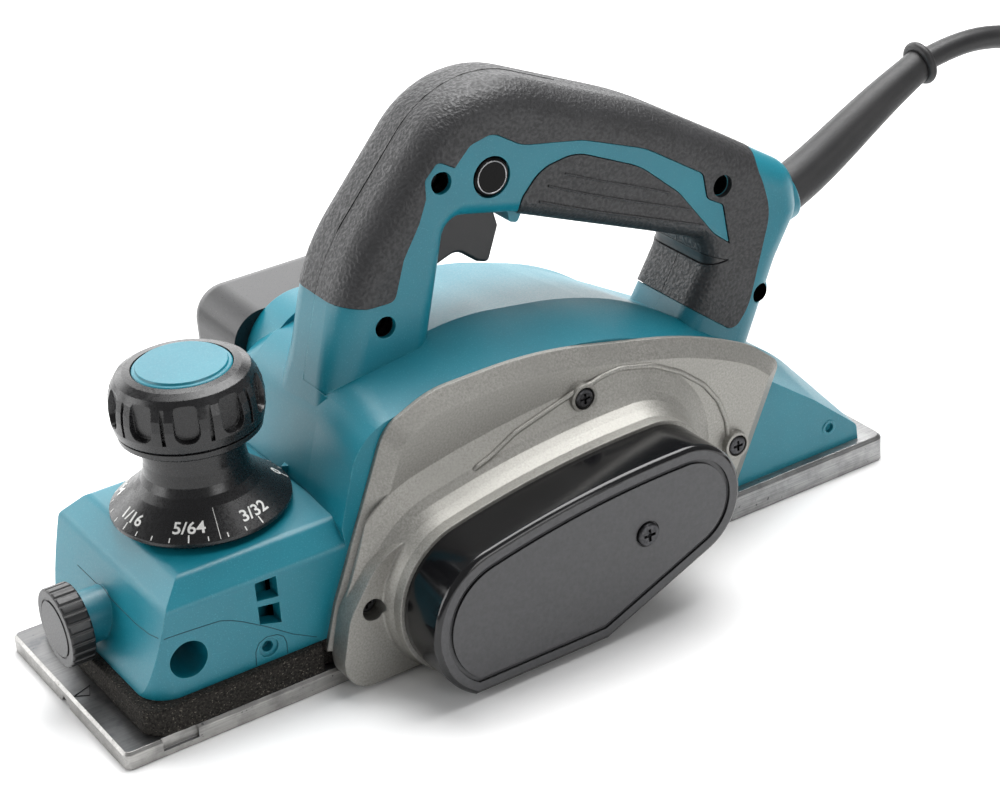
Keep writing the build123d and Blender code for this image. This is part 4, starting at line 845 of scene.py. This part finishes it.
def add_ribs():
    """Raised lines of the handle inserts and the curved rib of the bracket."""
    ribs = [[(x, INSERT_FACE_Y, z) for x, z in path] for path in INSERT_RIBS]
    add_lines("insert_ribs", ribs, INSERT_RIB_R, MATERIALS["grip_rubber"], "body", smooth=True)
    path = [(x, BRACKET_FACE_Y, z) for x, z in BRACKET_RIB]
    rib = on_surface(surface_tree("belt_bracket"), path, 3.0, 0.0)
    add_lines("bracket_rib", [rib], BRACKET_RIB_R, MATERIALS["cast_aluminium"], "body", smooth=True)


def add_grip_seam():
    grips = surface_tree("handle_grip_left", "handle_grip_right")
    line = on_surface(grips, GRIP_SEAM, 2.0, -0.05)
    add_lines("grip_seam_line", [line], FINE_LINE_R, BUTTON_BLACK, "body")


def add_screw_hole_shade():
    """Dark sleeves that line the handle's screw holes down to the heads: painted shade inside the holes."""
    wells = bmesh.new()
    for x, z in HANDLE_SCREWS:
        rings = []
        for index in range(WELL_SIDES):
            angle = 2 * pi * index / WELL_SIDES
            rings.append([wells.verts.new(mm(x + r * cos(angle), y, z + r * sin(angle))) for r, y in WELL_RINGS])
        close_rings(wells, rings)
    data = mesh_from("handle_screw_hole_shade", wells)
    mesh_object("handle_screw_hole_shade", data, BUTTON_BLACK, "body")


def add_housing_seams():
    housing = surface_tree(*HOUSING_NODES)
    lines = [on_surface(housing, path, 1.5, 0.0) for path in (FRONT_SEAM, SCREW_PAD)]
    add_lines("housing_seam_lines", lines, HOUSING_SEAM_R, SEAM_DARK, "body")


# A light grey ring at the lock button's rim, the painted highlight of its rounded edge.
def add_lock_rim_highlight():
    angles = [radians(turn) for turn in range(0, 361, LOCK_HIGHLIGHT_STEP)]
    x, z = LOCK_CENTRE
    ring = [(x + LOCK_HIGHLIGHT_R * cos(angle), LOCK_HIGHLIGHT_Y, z + LOCK_HIGHLIGHT_R * sin(angle)) for angle in angles]
    add_lines("lock_button_rim_highlight", [ring], FINE_LINE_R, RIM_PAINTED_HIGHLIGHT, "lock")


def add_shoe_mark():
    mark = [(x, y, SHOE_TOP) for x, y in SHOE_MARK]
    add_lines("shoe_cast_mark", [mark], FINE_LINE_R, BLACK_OXIDE, "shoe")


add_ribs()
add_grip_seam()
add_screw_hole_shade()
add_housing_seams()
add_lock_rim_highlight()
add_shoe_mark()

# ---- Dial markings ----

DIAL_RIM_R = 27.4
DIAL_RIM_Z = 53.4
DIAL_TOP_R = 19.2
DIAL_TOP_Z = 60.2
SLOPE = (Vector((DIAL_TOP_R, DIAL_TOP_Z)) - Vector((DIAL_RIM_R, DIAL_RIM_Z))).length


def dial_point(turn, up, lift=0.0):
    """Point on the dial's cone: turn in degrees, up the slope and lift above it, in millimetres."""
    run = (DIAL_RIM_R - DIAL_TOP_R) / SLOPE
    rise = (DIAL_TOP_Z - DIAL_RIM_Z) / SLOPE
    r = DIAL_RIM_R - up * run + lift * rise
    z = DIAL_RIM_Z + up * rise + lift * run
    return mm(KNOB_X + r * cos(radians(turn)), r * sin(radians(turn)), z)


def white_print():
    """White ink of the dial's scale."""
    m = Nodes("dial_print_white")
    cover = m.ramp(m.noise(0.0006, 3.0, 0.6), 0.0, 1.0, 0.35, 0.7)
    m.colour(m.blend(cover, (0.72, 0.72, 0.70), (0.86, 0.86, 0.84)))
    m.roughness(m.ramp(m.noise(0.0004), 0.4, 0.6, 0.3, 0.7))
    return m.material


DIAL_LABELS = ["0", "1/64", "1/32", "3/64", "1/16", "5/64", "3/32"]
LABEL_STEP = 50.0
LABEL_UP = 5.2
LABEL_SIZE = 5.2
LABEL_DROP = 1.9
LABEL_R = DIAL_RIM_R - (DIAL_RIM_R - DIAL_TOP_R) * (LABEL_UP + 1.6) / SLOPE
DIAL_PHASE = -14.5
TICK_COUNT = 25
TICK_STEP = 12.5
TICK_LOW = 0.5
MAJOR_TICK = (2.9, 0.35)
MINOR_TICK = (1.9, 0.28)
WITNESS_TURN = 255.5
WITNESS_WIDTH = 0.16
PRINT_SUNK = -0.05
PRINT_PROUD = 0.08


def label_mesh(text, turn):
    """Numbers bent round the dial's cone."""
    curve = bpy.data.curves.new("label_text", "FONT")
    curve.body = text
    curve.size = LABEL_SIZE
    curve.align_x = "CENTER"
    curve.extrude = 0.03
    curve.offset = 0.09
    curve.resolution_u = 3
    holder = bpy.data.objects.new("label_text", curve)
    bpy.context.scene.collection.objects.link(holder)
    bpy.context.view_layer.update()
    mesh = bpy.data.meshes.new_from_object(holder)
    bpy.data.objects.remove(holder)
    for vertex in mesh.vertices:
        x, y, z = vertex.co
        vertex.co = dial_point(turn + x / LABEL_R * 180 / pi, LABEL_UP - LABEL_DROP + y, z + 0.05)
    return mesh


def strip(mesh, corners):
    """Adds one closed thin box to a bmesh from four base corners and four top corners."""
    verts = [mesh.verts.new(c) for c in corners]
    for face in ((0, 1, 2, 3), (7, 6, 5, 4), (0, 4, 5, 1), (1, 5, 6, 2), (2, 6, 7, 3), (3, 7, 4, 0)):
        mesh.faces.new([verts[i] for i in face])


def tick(mesh, turn, low, high, width):
    """One printed line up the cone, between two distances from the rim."""
    half = width / 2 / LABEL_R * 180 / pi
    corners = [dial_point(turn + side * half, up, lift)
               for lift in (PRINT_SUNK, PRINT_PROUD)
               for side, up in ((-1, low), (1, low), (1, high), (-1, high))]
    strip(mesh, corners)


def make_dial_marks():
    white = white_print()
    for index, text in enumerate(DIAL_LABELS):
        name = "dial_label_" + text.replace("/", "_")
        mesh_object(name, label_mesh(text, DIAL_PHASE + index * LABEL_STEP), white, "knob")
    ticks = bmesh.new()
    for index in range(TICK_COUNT):
        high, width = MINOR_TICK if index % 4 else MAJOR_TICK
        tick(ticks, DIAL_PHASE + index * TICK_STEP, TICK_LOW, high, width)
    tick(ticks, WITNESS_TURN, 0.4, SLOPE - 0.2, WITNESS_WIDTH)
    bmesh.ops.recalc_face_normals(ticks, faces=ticks.faces)
    mesh_object("dial_ticks", mesh_from("dial_ticks", ticks), white, "knob")


make_dial_marks()

# ---- Floor and light ----


FLOOR_HALF = 6.0
FLOOR_Z = -0.0002
WORLD_STRENGTH = 0.26


def make_floor():
    m = Nodes("studio_floor")
    drift = m.ramp(m.noise(0.4, 3.0, 0.5), 0.0, 1.0, 0.3, 0.7)
    m.colour(m.blend(drift, (0.90, 0.90, 0.90), (0.93, 0.93, 0.93)))
    m.roughness(m.ramp(m.noise(0.01), 0.7, 0.8, 0.3, 0.7))
    m.set(Specular_IOR_Level=0.2)
    mesh = bmesh.new()
    bmesh.ops.create_grid(mesh, x_segments=8, y_segments=8, size=FLOOR_HALF)
    floor = bpy.data.objects.new("studio_floor", mesh_from("studio_floor", mesh))
    floor.location.z = FLOOR_Z
    bpy.context.scene.collection.objects.link(floor)
    paint(floor, m.material)


def softbox(name, place, target, size, power):
    """Rectangular area light, sizes in metres and power in watts."""
    data = bpy.data.lights.new(name, "AREA")
    data.shape = "RECTANGLE"
    data.size, data.size_y = size
    data.energy = power
    light = bpy.data.objects.new(name, data)
    light.location = place
    light.rotation_mode = "QUATERNION"
    light.rotation_quaternion = (Vector(target) - Vector(place)).to_track_quat("-Z", "Y")
    bpy.context.scene.collection.objects.link(light)


def make_light():
    world = bpy.data.worlds.new("studio_world")
    world.use_nodes = True
    background = world.node_tree.nodes["Background"]
    background.inputs["Color"].default_value = (1.0, 1.0, 1.0, 1.0)
    background.inputs["Strength"].default_value = WORLD_STRENGTH
    bpy.context.scene.world = world
    softbox("top_softbox", (0.45, 0.3, 1.25), (0.08, 0.0, 0.05), (1.3, 1.0), 32.0)
    softbox("back_softbox", (0.1, 1.5, 0.56), (0.05, 0.0, 0.1), (3.2, 0.85), 27.0)
    softbox("left_softbox", (-1.3, 0.5, 0.45), (0.0, 0.0, 0.08), (0.9, 0.7), 8.0)
    softbox("front_softbox", (0.3, -1.4, 0.5), (0.05, 0.0, 0.05), (0.6, 0.6), 4.0)
    bpy.context.scene.view_settings.view_transform = "Standard"


make_floor()
make_light()
